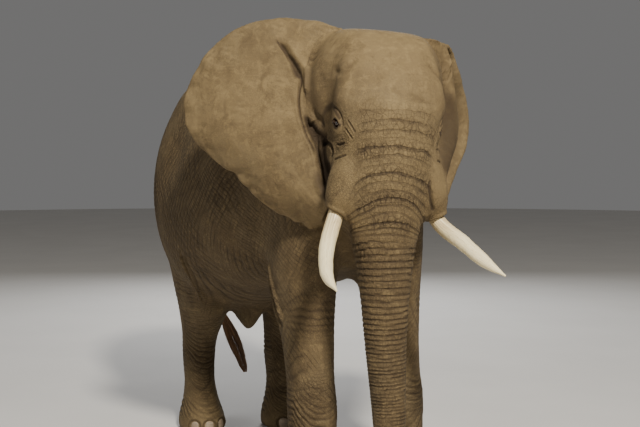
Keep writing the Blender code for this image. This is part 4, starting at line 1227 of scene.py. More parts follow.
def map_hide(mesh, state):
    """Flat charts, one for each side of each part of the body, that fill the unit square."""
    vertex, total = face_corners(mesh)
    owner = np.repeat(np.arange(len(total)), total)
    points, local = state["points"], state["local"]
    feet = [np.hypot(points[:, 0] - foot[2], points[:, 1] - foot[3]) for foot in FEET]
    which = np.argmax([state[name] for name in ("body", "head", "trunk", "legs", "ear", "tail")], axis=0)
    region = np.choose(which, (0, 1, 2, 3 + np.argmin(feet, axis=0), np.where(local[:, 0] < 0, 7, 8), 9))
    in_head = np.isin(region, (*MAP_HEAD, *MAP_EARS))[:, None]
    broad = broad_normals(mesh)
    way = np.where(in_head, broad @ HEAD_ARRAY[:3, :3], broad)
    for part, shape in MAP_EARS.items():
        way[region == part] = (way[region == part] @ ear_facing(shape)[0])[:, None] * (0.0, 1.0, 0.0)
    spot = np.where(in_head, local, points)
    # each face goes to the chart of its first corner
    lead = vertex[np.cumsum(total) - total]
    axis = np.argmax(np.abs(way[lead]), axis=1)
    sign = np.take_along_axis(way[lead], axis[:, None], 1)[:, 0] > 0
    chart = (region[lead] * 6 + axis * 2 + sign)[owner]
    places = np.zeros((len(vertex), 2))
    labels = np.unique(chart)
    sizes = []
    for label in labels:
        here = chart == label
        p = spot[vertex[here]]
        part, flat = divmod(int(label), 6)
        if part in MAP_EARS:
            p = np.stack((p @ ear_facing(MAP_EARS[part])[1], p[:, 2]), 1)
        else:
            p = p[:, ((1, 2), (0, 2), (0, 1))[flat // 2]]
        places[here] = (p - p.min(0)) * (1.5 if part in MAP_HEAD else 1.0)
        sizes.append(tuple(places[here].max(0) + MAP_MARGIN))
    corners, side = shelve(sizes)
    for k, label in enumerate(labels):
        places[chart == label] += np.array(corners[k]) + MAP_MARGIN * 0.5
    put_map(mesh, places / side)


# ---------------------------------------------------------------- the hide
def refine(mesh, chosen):
    """Cut each face that touches a chosen vertex into four."""
    bm = bmesh.new()
    bm.from_mesh(mesh)
    bm.verts.ensure_lookup_table()
    faces = {face for k in np.nonzero(chosen)[0] for face in bm.verts[int(k)].link_faces}
    edges = list({edge for face in faces for edge in face.edges})
    bmesh.ops.subdivide_edges(bm, edges=edges, cuts=1, use_grid_fill=True)
    bm.to_mesh(mesh)
    bm.free()


def soften(mesh, where, times):
    """Round off the straight cuts of refine."""
    points = points_of(mesh)
    put_points(mesh, relax(points, edges_of(mesh), 0.5 * where(to_head(points), points), times, 1.02))


def eye_distance(local, side):
    return np.linalg.norm(local - EYE * (side, 1.0, 1.0), axis=1)


def nearest_eye(local):
    return np.minimum(eye_distance(local, RIGHT), eye_distance(local, LEFT))


def refine_head(mesh):
    """Finer cells on the head, the trunk and the ear's hollow, and twice finer again round the eyes."""
    state = survey(points_of(mesh), normals_of(mesh))
    from_hollow = (np.abs(state["local"]) - (0.55, 0.18, 0.38)) / (0.14, 0.12, 0.17)
    hollow = np.linalg.norm(from_hollow, axis=1) < 1.0
    refine(mesh, ((state["head"] + state["trunk"]) > 0.02) | hollow)
    soften(mesh, lambda local, points: (local[:, 1] < 0.35) * (points[:, 1] < -0.7), 3)
    for radius in (0.17, 0.060):
        refine(mesh, nearest_eye(to_head(points_of(mesh))) < radius)
        soften(mesh, lambda local, points: nearest_eye(local) < radius * 1.1, 2)


def dust_on(state, broad):
    """Pale dust on what faces up, on the nose's boss, the brow and the feet."""
    p = state["points"]
    x, y, z = state["local"].T
    dust = np.maximum.reduce((
        0.55 * smooth_step(0.1, 0.9, broad[:, 2]),
        0.75 * bell(x, 0.0, 0.22) * bell(z, -0.02, 0.22) * state["head"] * smooth_step(-0.3, -0.45, y),
        0.20 * state["head"] * smooth_step(0.05, 0.4, z),
        0.75 * state["head"] * smooth_step(-0.2, -0.4, y) * smooth_step(0.1, -0.1, z),
        0.70 * smooth_step(0.42, 0.10, p[:, 2]) * state["legs"],
    ))
    ear_tone = 0.30 + 0.25 * bell(state["along"], 0.48, 0.2) - 0.15 * smooth_step(0.3, 0.1, state["along"])
    dust = dust * (1.0 - 0.7 * state["ear"]) + ear_tone * state["ear"]
    return np.clip(dust + 0.30 * cloud(p, 0.5, 201) + 0.20 * cloud(p, 0.09, 205), 0.0, 1.0)


def make_hide(settings):
    """The skin that replaces all flesh: large folds first, then fine ones along the new surface."""
    hide = fused_hide(settings.grain)
    mesh = hide.data
    refine_head(mesh)
    state = survey(points_of(mesh), normals_of(mesh))
    drawn_folds(state)
    tusk_lips(state)
    nail_beds(state)
    # dark: painted shade of the folds, cracks and hollows; the eyes and nostrils add theirs below
    dark = state["dark"]
    points = state["points"] + state["normals points"] * (settings.fold_depth * state["rise"])[:, None]
    shade_hollows(points, dark)
    put_points(mesh, points)
    state["normals points"] = unit(relax(normals_of(mesh), edges_of(mesh), 0.5, 3))
    state["rise"] = np.zeros(len(points))
    for add in (
        flank_folds, leg_folds, tail_rings, ear_skin, temple_folds, trunk_rolls, cheek_bumps, cross_cracks,
        hide_cracks,
    ):
        add(state)
    # the lids and the forehead stay calmer than the rest
    local = state["local"]
    brow = state["head"] * smooth_step(0.0, 0.12, local[:, 2])
    brow *= 1.0 - 0.6 * smooth_step(0.34, 0.40, np.abs(local[:, 0]))
    calm = (0.20 + 0.80 * smooth_step(0.04, 0.10, nearest_eye(local))) * (1.0 - 0.80 * brow)
    points = points + state["normals points"] * (settings.fold_depth * state["rise"] * calm)[:, None]
    points = shape_trunk_tip(shape_eyes(points, dark), dark)
    # nothing sinks below the floor
    points[points[:, 2] < 0.004, 2] = SOLE_HEIGHT
    put_points(mesh, points)
    line_fields(state)
    dark = np.clip(dark, 0.0, 1.0)
    legs = state["legs"] * smooth_step(0.05, 0.14, points[:, 2])
    wrist = 0.25 + 0.75 * bell(points[:, 2], 0.60, 0.20)
    fore = points[:, 1] < 0.3
    values = {name: state[name] for name in ("ear", "ring", "slant", "cross", "level", "fore")}
    values.update({
        "calm": calm,
        "dark": dark,
        # less dust where shade is painted, so the painted shade stays dark
        "dust": dust_on(state, broad_normals(mesh)) * (1.0 - 0.8 * dark),
        "wet": wet_rims(points),
        "on_body": state["body"],
        "on_rings": state["on rings"],
        "nose": state["on rings"] * smooth_step(0.35, -0.10, state["down"]),
        "on_level": legs * np.where(fore, wrist, 1.0),
        "on_fore": legs * np.where(fore, 1.33 - wrist, 0.35),
    })
    for name, numbers in values.items():
        put_value(mesh, name, numbers)
    map_hide(mesh, state)
    mesh.shade_smooth()
    mesh.materials.clear()
    mesh.materials.append(hide_material(settings))
    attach(hide, "root")
    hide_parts(*FLESH, *EARS)
    return hide


def wet_rims(points):
    """1 on the moist edges of the lids."""
    local = to_head(points)
    wet = np.zeros(len(points))
    for side in SIDES:
        a, b, h = on_eye(side, local)
        near = (eye_distance(local, side) < 0.055) & (np.abs(a) < 0.034)
        wet = np.maximum(wet, near * smooth_step(0.0035, 0.0, np.abs(b) - lid_gap(a)))
    return wet


# ---------------------------------------------------------------- materials
class Graph:
    """A material's nodes, laid out from left to right."""

    def __init__(self, name):
        self.material = bpy.data.materials.new(name)
        self.material.use_nodes = True
        self.tree = self.material.node_tree
        self.shader = self.tree.nodes["Principled BSDF"]
        self.count = 0
        self.place = self.add("ShaderNodeTexCoord").outputs["Object"]

    def add(self, kind, values=(), **settings):
        """A node with those settings, and with values or links on its named or numbered sockets."""
        node = self.tree.nodes.new(kind)
        self.count += 1
        node.location = (-1800 + 190 * (self.count % 9), 500 - 220 * (self.count // 9))
        for key, value in settings.items():
            setattr(node, key, value)
        for socket, value in values:
            self.put(node.inputs[socket], value)
        return node

    def put(self, socket, value):
        if isinstance(value, bpy.types.NodeSocket):
            self.tree.links.new(value, socket)
        elif value is not None:
            socket.default_value = value

    def value(self, name):
        return self.add("ShaderNodeAttribute", attribute_name=name).outputs["Fac"]

    def stretch(self, scale, source=None):
        source = source or self.place
        return self.add("ShaderNodeMapping", (("Vector", source), ("Scale", scale))).outputs["Vector"]

    def noise_node(self, scale, detail, rough, source, twist):
        values = (
            ("Vector", source or self.place), ("Scale", scale), ("Detail", detail), ("Roughness", rough),
            ("Distortion", twist),
        )
        return self.add("ShaderNodeTexNoise", values)

    def noise(self, scale, detail=3.0, rough=0.55, source=None, twist=0.0):
        return self.noise_node(scale, detail, rough, source, twist).outputs["Fac"]

    def warp(self, scale, amount):
        """The place, pushed about by noise."""
        push = self.noise_node(scale, 2.0, 0.5, None, 0.0).outputs["Color"]
        values = ((0, push), (1, (amount, amount, amount)), (2, self.place))
        return self.add("ShaderNodeVectorMath", values, operation="MULTIPLY_ADD").outputs["Vector"]

    def net(self, scale, width, source):
        """1 on the borders of cells, fading to 0 inside them."""
        values = (("Vector", source), ("Scale", scale))
        cells = self.add("ShaderNodeTexVoronoi", values, feature="DISTANCE_TO_EDGE")
        return self.span(cells.outputs["Distance"], 0.0, width, 1.0, 0.0)

    def span(self, value, low, high, out_low=0.0, out_high=1.0):
        """Smoothly from out_low to out_high while the value goes from low to high."""
        values = (
            ("Value", value), ("From Min", low), ("From Max", high), ("To Min", out_low),
            ("To Max", out_high),
        )
        return self.add("ShaderNodeMapRange", values, interpolation_type="SMOOTHSTEP").outputs["Result"]

    def maths(self, operation, *values, clamp=False):
        """The operation on the first two values, then on that and the next one, and so on."""
        total = values[0]
        for value in values[1:]:
            node = self.add("ShaderNodeMath", ((0, total), (1, value)), operation=operation, use_clamp=clamp)
            total = node.outputs["Value"]
        return total

    def times(self, *values):
        return self.maths("MULTIPLY", *values)

    def plus(self, *values):
        return self.maths("ADD", *values)

    def mix(self, share, a, b):
        values = ((0, share), (6, rgb(a)), (7, rgb(b)))
        return self.add("ShaderNodeMix", values, data_type="RGBA").outputs[2]

    def bump(self, height, distance=1.0):
        values = (("Height", height), ("Distance", distance), ("Strength", 1.0))
        return self.add("ShaderNodeBump", values).outputs["Normal"]

    def finish(self, colour, rough, normal=None, **fixed):
        self.put(self.shader.inputs["Base Color"], colour)
        self.put(self.shader.inputs["Roughness"], rough)
        if normal is not None:
            self.put(self.shader.inputs["Normal"], normal)
        for name, number in fixed.items():
            self.shader.inputs[name.replace("_", " ")].default_value = number
        return self.material


def rgb(colour):
    """A colour with its alpha; a link stays as it is."""
    return colour if isinstance(colour, bpy.types.NodeSocket) else (*colour, 1.0)


def shade(colour, *parts):
    """The colour with its red, green and blue scaled, all alike when there is one part."""
    return [part * c for part, c in zip(parts * (3 if len(parts) == 1 else 1), colour)]


def wrinkles(g, field, share, width, wobble, size):
    """Grooves where a field passes whole numbers, broken up by noise."""
    away = g.maths("PINGPONG", g.plus(g.value(field), g.times(wobble, 0.9)), 0.5)
    some = g.span(g.noise(size, 3.0, 0.6), 0.40, 0.60, 0.12, 1.0)
    return g.times(g.span(away, 0.0, width, 1.0, 0.0), share, some)


def hide_material(settings):
    """Dry clay-brown hide: dust, blotches, crossing wrinkles and cracked cells, with painted shade in its
    creases, wrinkles, cells and hollows.
    """
    g = Graph("elephant hide")
    dark, dust, ear, wet, calm = map(g.value, ("dark", "dust", "ear", "wet", "calm"))
    rings, body, on_level, on_fore = map(g.value, ("on_rings", "on_body", "on_level", "on_fore"))
    smooth = g.times(g.maths("SUBTRACT", 1.0, g.times(ear, 0.70)), calm)
    # blotches, dust, flecks and stains
    blotch = g.span(g.noise(1.7, 5.0, 0.6, twist=0.6), 0.36, 0.66)
    patch = g.span(g.noise(6.5, 6.0, 0.62), 0.42, 0.68)
    grit = g.noise(55.0, 6.0, 0.7)
    powder = g.maths("ADD", dust, g.span(grit, 0.35, 0.70, -0.16, 0.16), clamp=True)
    fleck = g.span(g.noise(17.0, 6.0, 0.70, twist=0.4), 0.48, 0.66, 0.0, 0.42)
    stain = g.span(g.noise(8.0, 7.0, 0.70, twist=0.6), 0.50, 0.68, 0.0, 0.60)
    colour = g.mix(blotch, settings.brown, settings.grey)
    for share, layer in (
        (g.times(patch, 0.60), settings.umber), (powder, settings.dust), (fleck, shade(settings.dust, 1.30)),
        (stain, settings.umber),
    ):
        colour = g.mix(share, colour, layer)
    # wrinkles in their directions
    wobble = g.noise(16.0, 3.0, 0.6)
    slant = wrinkles(g, "slant", body, 0.16, wobble, 3.1)
    cross = wrinkles(g, "cross", body, 0.13, wobble, 4.3)
    level = wrinkles(g, "level", on_level, 0.17, wobble, 3.7)
    fore = wrinkles(g, "fore", on_fore, 0.15, wobble, 5.1)
    from_ring = g.maths("PINGPONG", g.plus(g.value("ring"), g.times(wobble, 0.25)), 0.5)
    ring = g.times(g.span(from_ring, 0.0, 0.12, 1.0, 0.0), rings)
    half = wrinkles(g, "ring", rings, 0.10, g.plus(wobble, 0.30), 6.0)
    lines = g.maths(
        "MAXIMUM", slant, g.times(cross, 0.8), level, g.times(fore, 0.9), ring, g.times(half, 0.7)
    )
    # cracked cells, long and upright on the nose and trunk
    bent = g.warp(9.0, 0.030)
    even = g.times(g.net(60.0, 0.14, bent), g.maths("SUBTRACT", 1.0, rings))
    tall = g.times(g.net(42.0, 0.14, g.stretch((1.0, 1.0, 0.50), bent)), rings)
    worn = g.span(g.noise(4.0, 3.0), 0.35, 0.62, 0.25, 1.0)
    cells = g.times(g.plus(even, tall), smooth, worn)
    small = g.times(g.net(140.0, 0.22, g.warp(30.0, 0.010)), smooth)
    fine = g.net(330.0, 0.25, bent)
    blocks = g.times(g.net(34.0, 0.12, g.stretch((1.0, 1.0, 0.62), g.warp(14.0, 0.020))), g.value("nose"))
    # painted shade: the wrinkle lines and the cracked cells are drawn in the crease colour as well as bumped
    for mask, share in ((lines, 0.70), (cells, 0.44), (blocks, 0.66), (small, 0.20)):
        colour = g.mix(g.times(mask, share), colour, settings.crease_shade)
    # painted shade of the folds, hollows, nostrils and eyes, from the dark attribute
    colour = g.mix(g.maths("MULTIPLY", dark, 0.90, clamp=True), colour, settings.crease_shade)
    colour = g.mix(g.times(wet, 0.85), colour, (0.012, 0.008, 0.006))
    depths = (
        (lines, -0.0034), (cells, -0.0018), (blocks, -0.0030), (small, -0.0008), (fine, -0.00022),
        (grit, 0.0012),
    )
    height = g.plus(*(g.times(mask, depth) for mask, depth in depths))
    rough = g.maths("SUBTRACT", g.span(grit, 0.2, 0.8, 0.74, 0.92), g.times(wet, 0.55))
    return g.finish(colour, rough, g.bump(height), Specular_IOR_Level=0.30)


# ---------------------------------------------------------------- eyes
def globe_faces(rings, columns, start=0):
    """Faces of a ball between its rings of vertices, three-sided at both poles."""
    faces = []
    for i, j in itertools.product(range(rings), range(columns)):
        a = start + i * columns + j
        b = start + i * columns + (j + 1) % columns
        c, d = b + columns, a + columns
        if i == 0:
            faces.append((a, c, d))
        else:
            faces.append((a, b, c, d) if i < rings - 1 else (a, b, c))
    return faces


def make_eye(side, name, node, material):
    """A ball with a clear bulge in front, turned the way the eye looks."""
    middle, forward, up, out = eye_frame(side)
    rings, columns = ((72, 96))
    polar = np.repeat(np.linspace(0.0, math.pi, rings + 1), columns)[:, None]
    turn = np.tile(np.arange(columns) * (2.0 * math.pi / columns), rings + 1)[:, None]
    height = BALL * np.cos(polar) + 0.0016 * np.exp(-((polar / 0.52) ** 4))
    spots = middle + out * height + (forward * np.cos(turn) + up * np.sin(turn)) * (BALL * np.sin(polar))
    piece = new_piece(name, from_head(spots), globe_faces(rings, columns))
    put_value(piece.data, "gaze", polar[:, 0])
    piece.data.materials.append(material)
    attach(piece, "root")
    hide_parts(node)


def eye_material(settings):
    """Brown iris with fine spokes, a dark round pupil and a brown white, under a wet coat."""
    g = Graph("wet eye")
    gaze = g.value("gaze")
    spokes = g.noise(260.0, 4.0, 0.6)
    limbus = g.times(g.span(gaze, 0.44, 0.56), g.span(gaze, 0.74, 0.58), 0.8)
    colour = g.mix(g.span(spokes, 0.3, 0.7), settings.iris, shade(settings.iris, 0.45))
    colour = g.mix(g.span(gaze, 0.50, 0.62), colour, settings.white)
    colour = g.mix(limbus, colour, (0.008, 0.005, 0.004))
    colour = g.mix(g.span(gaze, 0.24, 0.20), colour, (0.002, 0.002, 0.002))
    normal = g.bump(g.noise(90.0, 3.0), distance=0.00015)
    rough = g.span(spokes, 0.2, 0.8, 0.05, 0.11)
    return g.finish(colour, rough, normal, Coat_Weight=1.0, Coat_Roughness=0.02, IOR=1.40)


# ---------------------------------------------------------------- tusks
def add_tube(vertices, faces, path, radii, columns, across):
    """A closed round tube along a path; across is a way that its start doesn't follow."""
    ways = unit(np.gradient(path, axis=0))
    side = unit(np.cross(ways[0], across))
    start = len(vertices)
    for centre, way, radius in zip(path, ways, radii):
        side = unit(side - way * float(side @ way))
        up = np.cross(way, side)
        for j in range(columns):
            a = 2.0 * math.pi * j / columns
            vertices.append(centre + (side * math.cos(a) + up * math.sin(a)) * radius)
    last = len(vertices) - columns
    for ring, j in itertools.product(range(start, last, columns), range(columns)):
        a, b = ring + j, ring + (j + 1) % columns
        faces.append((a, b, b + columns, a + columns))
    faces.append(tuple(reversed(range(start, start + columns))))
    faces.append(tuple(range(last, last + columns)))


def make_tusk(path, name, node, material):
    """A tusk with a worn, rounded point and a faintly uneven surface."""
    rows = spread(path, (0, 1, 2, 3), 150)
    columns = 64
    way = unit(rows[-1, :3] - rows[-4, :3])
    bend = 0.5 * math.pi * np.arange(1, 9)[:, None] / 9.0
    radius = rows[-1, 3]
    point = np.hstack((rows[-1, :3] + way * radius * np.sin(bend), radius * np.cos(bend)))
    rows = np.vstack((rows, point))
    vertices, faces = [], []
    add_tube(vertices, faces, rows[:, :3], rows[:, 3], columns, (0.0, 0.0, 1.0))
    points = np.array(vertices)
    out = unit(points - np.repeat(rows[:, :3], columns, axis=0))
    wave = 0.0012 * noise(points, 0.05, 301) + 0.0005 * noise(points, 0.018, 302)
    piece = new_piece(name, from_head(points + out * wave[:, None]), faces)
    along = np.append(0.0, np.cumsum(np.linalg.norm(np.diff(rows[:, :3], axis=0), axis=1)))
    put_value(piece.data, "along", np.repeat(along / along[-1], columns))
    put_value(piece.data, "turn", np.tile(np.arange(columns) * (2.0 * math.pi / columns), len(rows)))
    piece.data.materials.append(material)
    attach(piece, "root")
    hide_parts(node)


def ivory_material(settings):
    """Old ivory: long fine grain, tan stain towards the lip, hairline cracks and rubbed pale tips."""
    g = Graph("ivory")
    along, turn = map(g.value, ("along", "turn"))
    values = (
        (0, g.times(along, 1.6)), (1, g.times(g.maths("SINE", turn, 0.0), 1.3)),
        (2, g.times(g.maths("COSINE", turn, 0.0), 1.3)),
    )
    spot = g.add("ShaderNodeCombineXYZ", values).outputs[0]
    grain = g.noise(9.0, 6.0, 0.65, source=spot)
    streak = g.noise(3.0, 4.0, 0.6, source=g.stretch((0.35, 3.0, 3.0), spot))
    stain = g.times(g.span(along, 0.62, 0.22), g.span(streak, 0.3, 0.62), 0.75)
    dirt = g.times(g.span(g.noise(38.0, 6.0, 0.7), 0.56, 0.74), 0.35)
    crack = g.times(g.net(6.0, 0.035, g.stretch((0.30, 1.0, 1.0), spot)), g.span(streak, 0.45, 0.6))
    colour = g.mix(g.span(grain, 0.32, 0.68), settings.ivory, shade(settings.ivory, 0.86, 0.80, 0.70))
    colour = g.mix(stain, colour, settings.stain)
    colour = g.mix(dirt, colour, settings.stain)
    colour = g.mix(g.times(crack, 0.6), colour, (0.11, 0.07, 0.035))
    height = g.plus(g.times(grain, 0.0010), g.times(crack, -0.0009))
    rough = g.span(grain, 0.25, 0.75, 0.34, 0.52)
    coat = {"Coat_Weight": 0.12, "Coat_Roughness": 0.3}
    return g.finish(colour, rough, g.bump(height), Specular_IOR_Level=0.5, **coat)


# ---------------------------------------------------------------- toenails
def make_nails(foot, spots, material):
    """The horn shields of one foot: arched, ridged from top to bottom and worn flat below."""
    vertices, faces = [], []
    rows, columns = ((30, 48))
    for middle, out, wide in spots:
        faces += globe_faces(rows, columns, len(vertices))
        for i, j in itertools.product(range(rows + 1), range(columns)):
            polar = math.pi * i / rows
            turn = 2.0 * math.pi * j / columns
            w = math.sin(polar) * math.cos(turn)
            v = math.sin(polar) * math.sin(turn)
            o = math.cos(polar)
            # squarer than a ball, arched above and straight below
            w = math.copysign(abs(w) ** 0.86, w) * 0.049
            v = math.copysign(abs(v) ** 0.84, v)
            v = v * (0.046 if v > 0 else 0.047)
            ridge = 0.0007 * math.sin(w * 900.0 + 3.0 * math.sin(v * 60.0)) * max(o, 0.0)
            ring = 0.0009 * math.sin(v * 330.0) * max(o, 0.0)
            o = math.copysign(abs(o) ** 0.80, o) * (0.024 if o > 0 else 0.020) + ridge + ring
            o -= 5.0 * w * w * (1.0 if o > 0 else 0.0)
            spot = middle + wide * w + out * o + Vector((0, 0, v))
            spot.z = max(spot.z, 0.012)
            vertices.append(spot)
    piece = new_piece("toenails_" + foot, vertices, faces)
    bm = bmesh.new()
    bm.from_mesh(piece.data)
    bmesh.ops.remove_doubles(bm, verts=bm.verts, dist=1e-6)
    bmesh.ops.recalc_face_normals(bm, faces=bm.faces)
    bm.to_mesh(piece.data)
    bm.free()
    put_value(piece.data, "rise", np.clip(points_of(piece.data)[:, 2] / 0.11, 0.0, 1.0))
    piece.data.shade_smooth()
    piece.data.materials.append(material)
    count = len(spots)
    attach(piece, "root")
    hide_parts(*["nail_%s_%d" % (foot, k + 1) for k in range(count)])


def nail_material(settings):
    """Dusty horn with fine upright ridges and growth bands, darker towards its lower edge."""
    g = Graph("toenail horn")
    band = g.noise(24.0, 4.0, 0.6, source=g.stretch((0.4, 0.4, 3.0)))
    thread = g.noise(70.0, 4.0, 0.6, source=g.stretch((1.0, 1.0, 0.12)))
    dust = g.span(g.noise(30.0, 5.0, 0.65), 0.40, 0.66, 0.0, 0.65)
    # darker towards the bottom
    edge = g.span(g.value("rise"), 0.28, 0.10, 0.0, 0.6)
    colour = g.mix(g.span(band, 0.35, 0.65), settings.horn, shade(settings.horn, 0.62))
    colour = g.mix(g.span(thread, 0.35, 0.7, 0.0, 0.45), colour, shade(settings.horn, 0.40))
    colour = g.mix(dust, colour, settings.soil)
    colour = g.mix(edge, colour, shade(settings.soil, 0.5))
    height = g.plus(g.times(thread, 0.0010), g.times(band, 0.0009))
    return g.finish(colour, g.span(thread, 0.3, 0.7, 0.48, 0.72), g.bump(height), Specular_IOR_Level=0.4)


# ---------------------------------------------------------------- hair
# middle line of the tuft, and how wide and deep it is: x, y, z, half width, half depth
TUFT = (
    (0.187, 2.071, 1.06, 0.029, 0.024),
    (0.210, 2.0575, 0.939, 0.024, 0.018),
    (0.265, 2.0475, 0.80, 0.055, 0.026),
    (0.335, 2.0325, 0.62, 0.070, 0.026),
    (0.395, 2.0175, 0.45, 0.048, 0.018),
    (0.435, 2.0075, 0.32, 0.010, 0.006),
)


def strand(vertices, faces, marks, path, radii, mark, patch):
    """One three-sided hair along a path, and for each vertex its shade and its place on the map."""
    add_tube(vertices, faces, path, radii, 3, (0.31, 0.95, 0.02))
    for k, j in itertools.product(range(len(path)), range(3)):
        marks.append((mark, patch[0] + 0.003 * j / 3.0, patch[1] + 0.003 * k / len(path)))


def hair_piece(name, vertices, faces, marks, material):
    piece = new_piece(name, vertices, faces)
    marks = np.array(marks)
    put_value(piece.data, "shade", marks[:, 0])
    put_map(piece.data, marks[face_corners(piece.data)[0], 1:])
    piece.data.materials.append(material)
    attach(piece, "root")
    return piece


def make_tail_hair(settings, material):
    """Two combs of wiry hair, one from each edge of the tail's end."""
    rng = np.random.default_rng(7)
    rows = spread(TUFT, (0, 1, 2, 3, 4), 60)
    t = np.linspace(0.0, 1.0, 12)
    vertices, faces, marks = [], [], []
    for k in range(settings.strands):
        side = LEFT if rng.random() < 0.55 else RIGHT
        start = 0.01 + 0.40 * rng.random() ** 1.3
        end = min(start + 0.42 + 0.38 * rng.random() ** 0.7, 0.99)
        turn = rng.normal(0.0, 0.85)
        wide = side * 0.95 * rng.random()
        deep = rng.normal(0.0, 0.45)
        share = start + (end - start) * t
        at = share * (len(rows) - 1)
        row = np.stack([np.interp(at, np.arange(len(rows)), column) for column in rows.T], 1)
        thin = 1.0 / max(row[0, 3] / 0.031, 1.0)
        loose = 1.0 + 0.6 * smooth_step(0.8, 1.0, share)
        w = side * math.cos(turn) * 0.85 * thin * (1.0 - t) + wide * t + 0.06 * np.sin(t * 7.0 + k)
        d = math.sin(turn) * (1.0 - t) + deep * t + 0.10 * np.sin(t * 5.0 + 2.3 * k)
        path = row[:, :3].copy()
        path[:, 0] += np.clip(w * loose, -1.6, 1.6) * row[:, 3]
        path[:, 1] += np.clip(d, -0.95, 0.95) * row[:, 4]
        radius = settings.strand_width * (0.6 + 0.5 * rng.random()) * (1.0 - 0.60 * t**2)
        patch = (0.02 + 0.94 * (turn / 6.3 + 0.5) % 0.94, 0.02 + 0.94 * start)
        strand(vertices, faces, marks, path, radius, rng.random(), patch)
    piece = hair_piece("tail_hair", vertices, faces, marks, material)
    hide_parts("tail_tuft")


def make_lashes(side, name, material):
    """Long drooping lashes on the upper lid, with a few on the lower one."""
    rng = np.random.default_rng(11 if side < 0 else 12)
    middle, forward, up, out = eye_frame(side)
    t = np.linspace(0.0, 1.0, 7)[:, None]
    vertices, faces, marks = [], [], []
    for k in range(46):
        upper = k < 34
        a = (rng.random() * 2.0 - 1.0) * 0.021
        b = (lid_gap(a) + 0.002) * (1.0 if upper else -1.0)
        ball = math.sqrt(max(BALL**2 - a * a - b * b, 0.0)) + 0.0045
        root = middle + forward * a + up * (b - LID_SLANT * a) + out * ball
        length = (0.030 if upper else 0.014) * (0.6 + 0.6 * rng.random())
        lean = forward * (a * 9.0 + rng.normal(0.0, 0.10)) + out * 0.9
        drop = -0.9 if upper else -0.35
        path = root + lean * length * t + up * (drop * length * t**1.6)
        radius = 0.00055 * (1.0 - 0.8 * t[:, 0])
        patch = (0.1 + 0.8 * (a / 0.05 + 0.5), 0.3 if upper else 0.6)
        strand(vertices, faces, marks, from_head(path), radius, 0.3 * rng.random(), patch)
    hair_piece(name, vertices, faces, marks, material)


def hair_material(settings):
    """Wiry hair from dark brown to rust, with a dull gloss."""
    g = Graph("wiry hair")
    streak = g.noise(40.0, 3.0, source=g.stretch((1.0, 1.0, 0.2)))
    colour = g.mix(g.span(g.value("shade"), 0.2, 0.9), settings.dark_hair, settings.rust_hair)
    colour = g.mix(g.span(streak, 0.4, 0.7, 0.0, 0.4), colour, shade(settings.rust_hair, 0.5))
    normal = g.bump(streak, distance=0.0006)
    return g.finish(colour, g.span(streak, 0.3, 0.7, 0.38, 0.55), normal, Specular_IOR_Level=0.45)


# ---------------------------------------------------------------- floor, light and camera
CAMERA_PLACE = (-3.5856, -7.0648, 2.38)
CAMERA_TURN = math.radians(28.0)
CAMERA_DIP = math.radians(3.1345)


def stage_material(name, colour):
    g = Graph(name)
    cloudy = g.noise(0.7, 4.0)
    tone = g.mix(g.span(cloudy, 0.3, 0.7), colour, shade(colour, 0.96))
    return g.finish(tone, g.span(cloudy, 0.3, 0.7, 0.78, 0.86), Specular_IOR_Level=0.2)


def make_floor(settings):
    """A plain round floor."""
    bm = bmesh.new()
    bmesh.ops.create_circle(bm, cap_ends=True, segments=96, radius=settings.floor_radius)
    floor = from_bmesh("studio_floor", bm)
    floor.location = (0.0, 0.5, 0.0)
    floor.data.materials.append(stage_material("studio floor", settings.floor_colour))


def area_light(name, place, target, size, power, colour):
    light = bpy.data.lights.new(name, "AREA")
    light.shape = "DISK"
    light.size = size
    light.energy = power
    light.color = colour
    lamp = bpy.data.objects.new(name, light)
    bpy.context.scene.collection.objects.link(lamp)
    lamp.location = place
    lamp.rotation_euler = (Vector(target) - Vector(place)).to_track_quat("-Z", "Y").to_euler()
    return lamp


def make_lights(settings):
    middle = (0.1, 0.0, 1.6)
    warm = (1.0, 0.95, 0.85)
    area_light("key light", (-2.3, -10.2, 10.0), middle, 1.3, settings.key, warm)
    area_light("side light", (-11.0, 0.5, 4.5), middle, 6.0, settings.side, (1.0, 0.98, 0.95))
    area_light("back light", (5.0, 9.5, 6.5), middle, 6.0, settings.back, (0.95, 0.97, 1.0))
    world = bpy.data.worlds.new("studio")
    world.use_nodes = True
    back = world.node_tree.nodes["Background"]
    back.inputs["Color"].default_value = rgb(settings.sky)
    back.inputs["Strength"].default_value = settings.sky_strength
    bpy.context.scene.world = world


def make_camera(settings):
    lens = bpy.data.cameras.new("camera")
    lens.lens = settings.lens
    lens.sensor_width = 36.0
    lens.clip_end = 200.0
    lens.dof.use_dof = False
    camera = bpy.data.objects.new("camera", lens)
    bpy.context.scene.collection.objects.link(camera)
    camera.location = CAMERA_PLACE
    way = Vector((math.sin(CAMERA_TURN), math.cos(CAMERA_TURN), -math.tan(CAMERA_DIP)))
    camera.rotation_euler = way.to_track_quat("-Z", "Y").to_euler()
    bpy.context.scene.camera = camera


# ---------------------------------------------------------------- settings
def tone(name, colour):
    return FloatVectorProperty(
        name=name, description=name + " colour", subtype="COLOR", size=3, min=0.0, max=1.0, default=colour
    )


class HideSettings(bpy.types.PropertyGroup):
    grain: FloatProperty(
        name="Grain", description="Size of the hide's mesh cells away from the head",
        default=0.0098, min=0.006, max=0.03, unit="LENGTH"
    )
    fold_depth: FloatProperty(
        name="Fold depth", description="Depth of all folds against their own depth",
        default=1.0, min=0.0, max=2.0
    )
    brown: tone("Brown", (0.135, 0.093, 0.044))
    grey: tone("Grey brown", (0.158, 0.115, 0.059))
    umber: tone("Umber", (0.096, 0.065, 0.030))
    dust: tone("Dust", (0.205, 0.146, 0.068))
    # painted shade: the colour drawn into creases, cracks and hollows
    crease_shade: tone("Crease", (0.027, 0.016, 0.008))


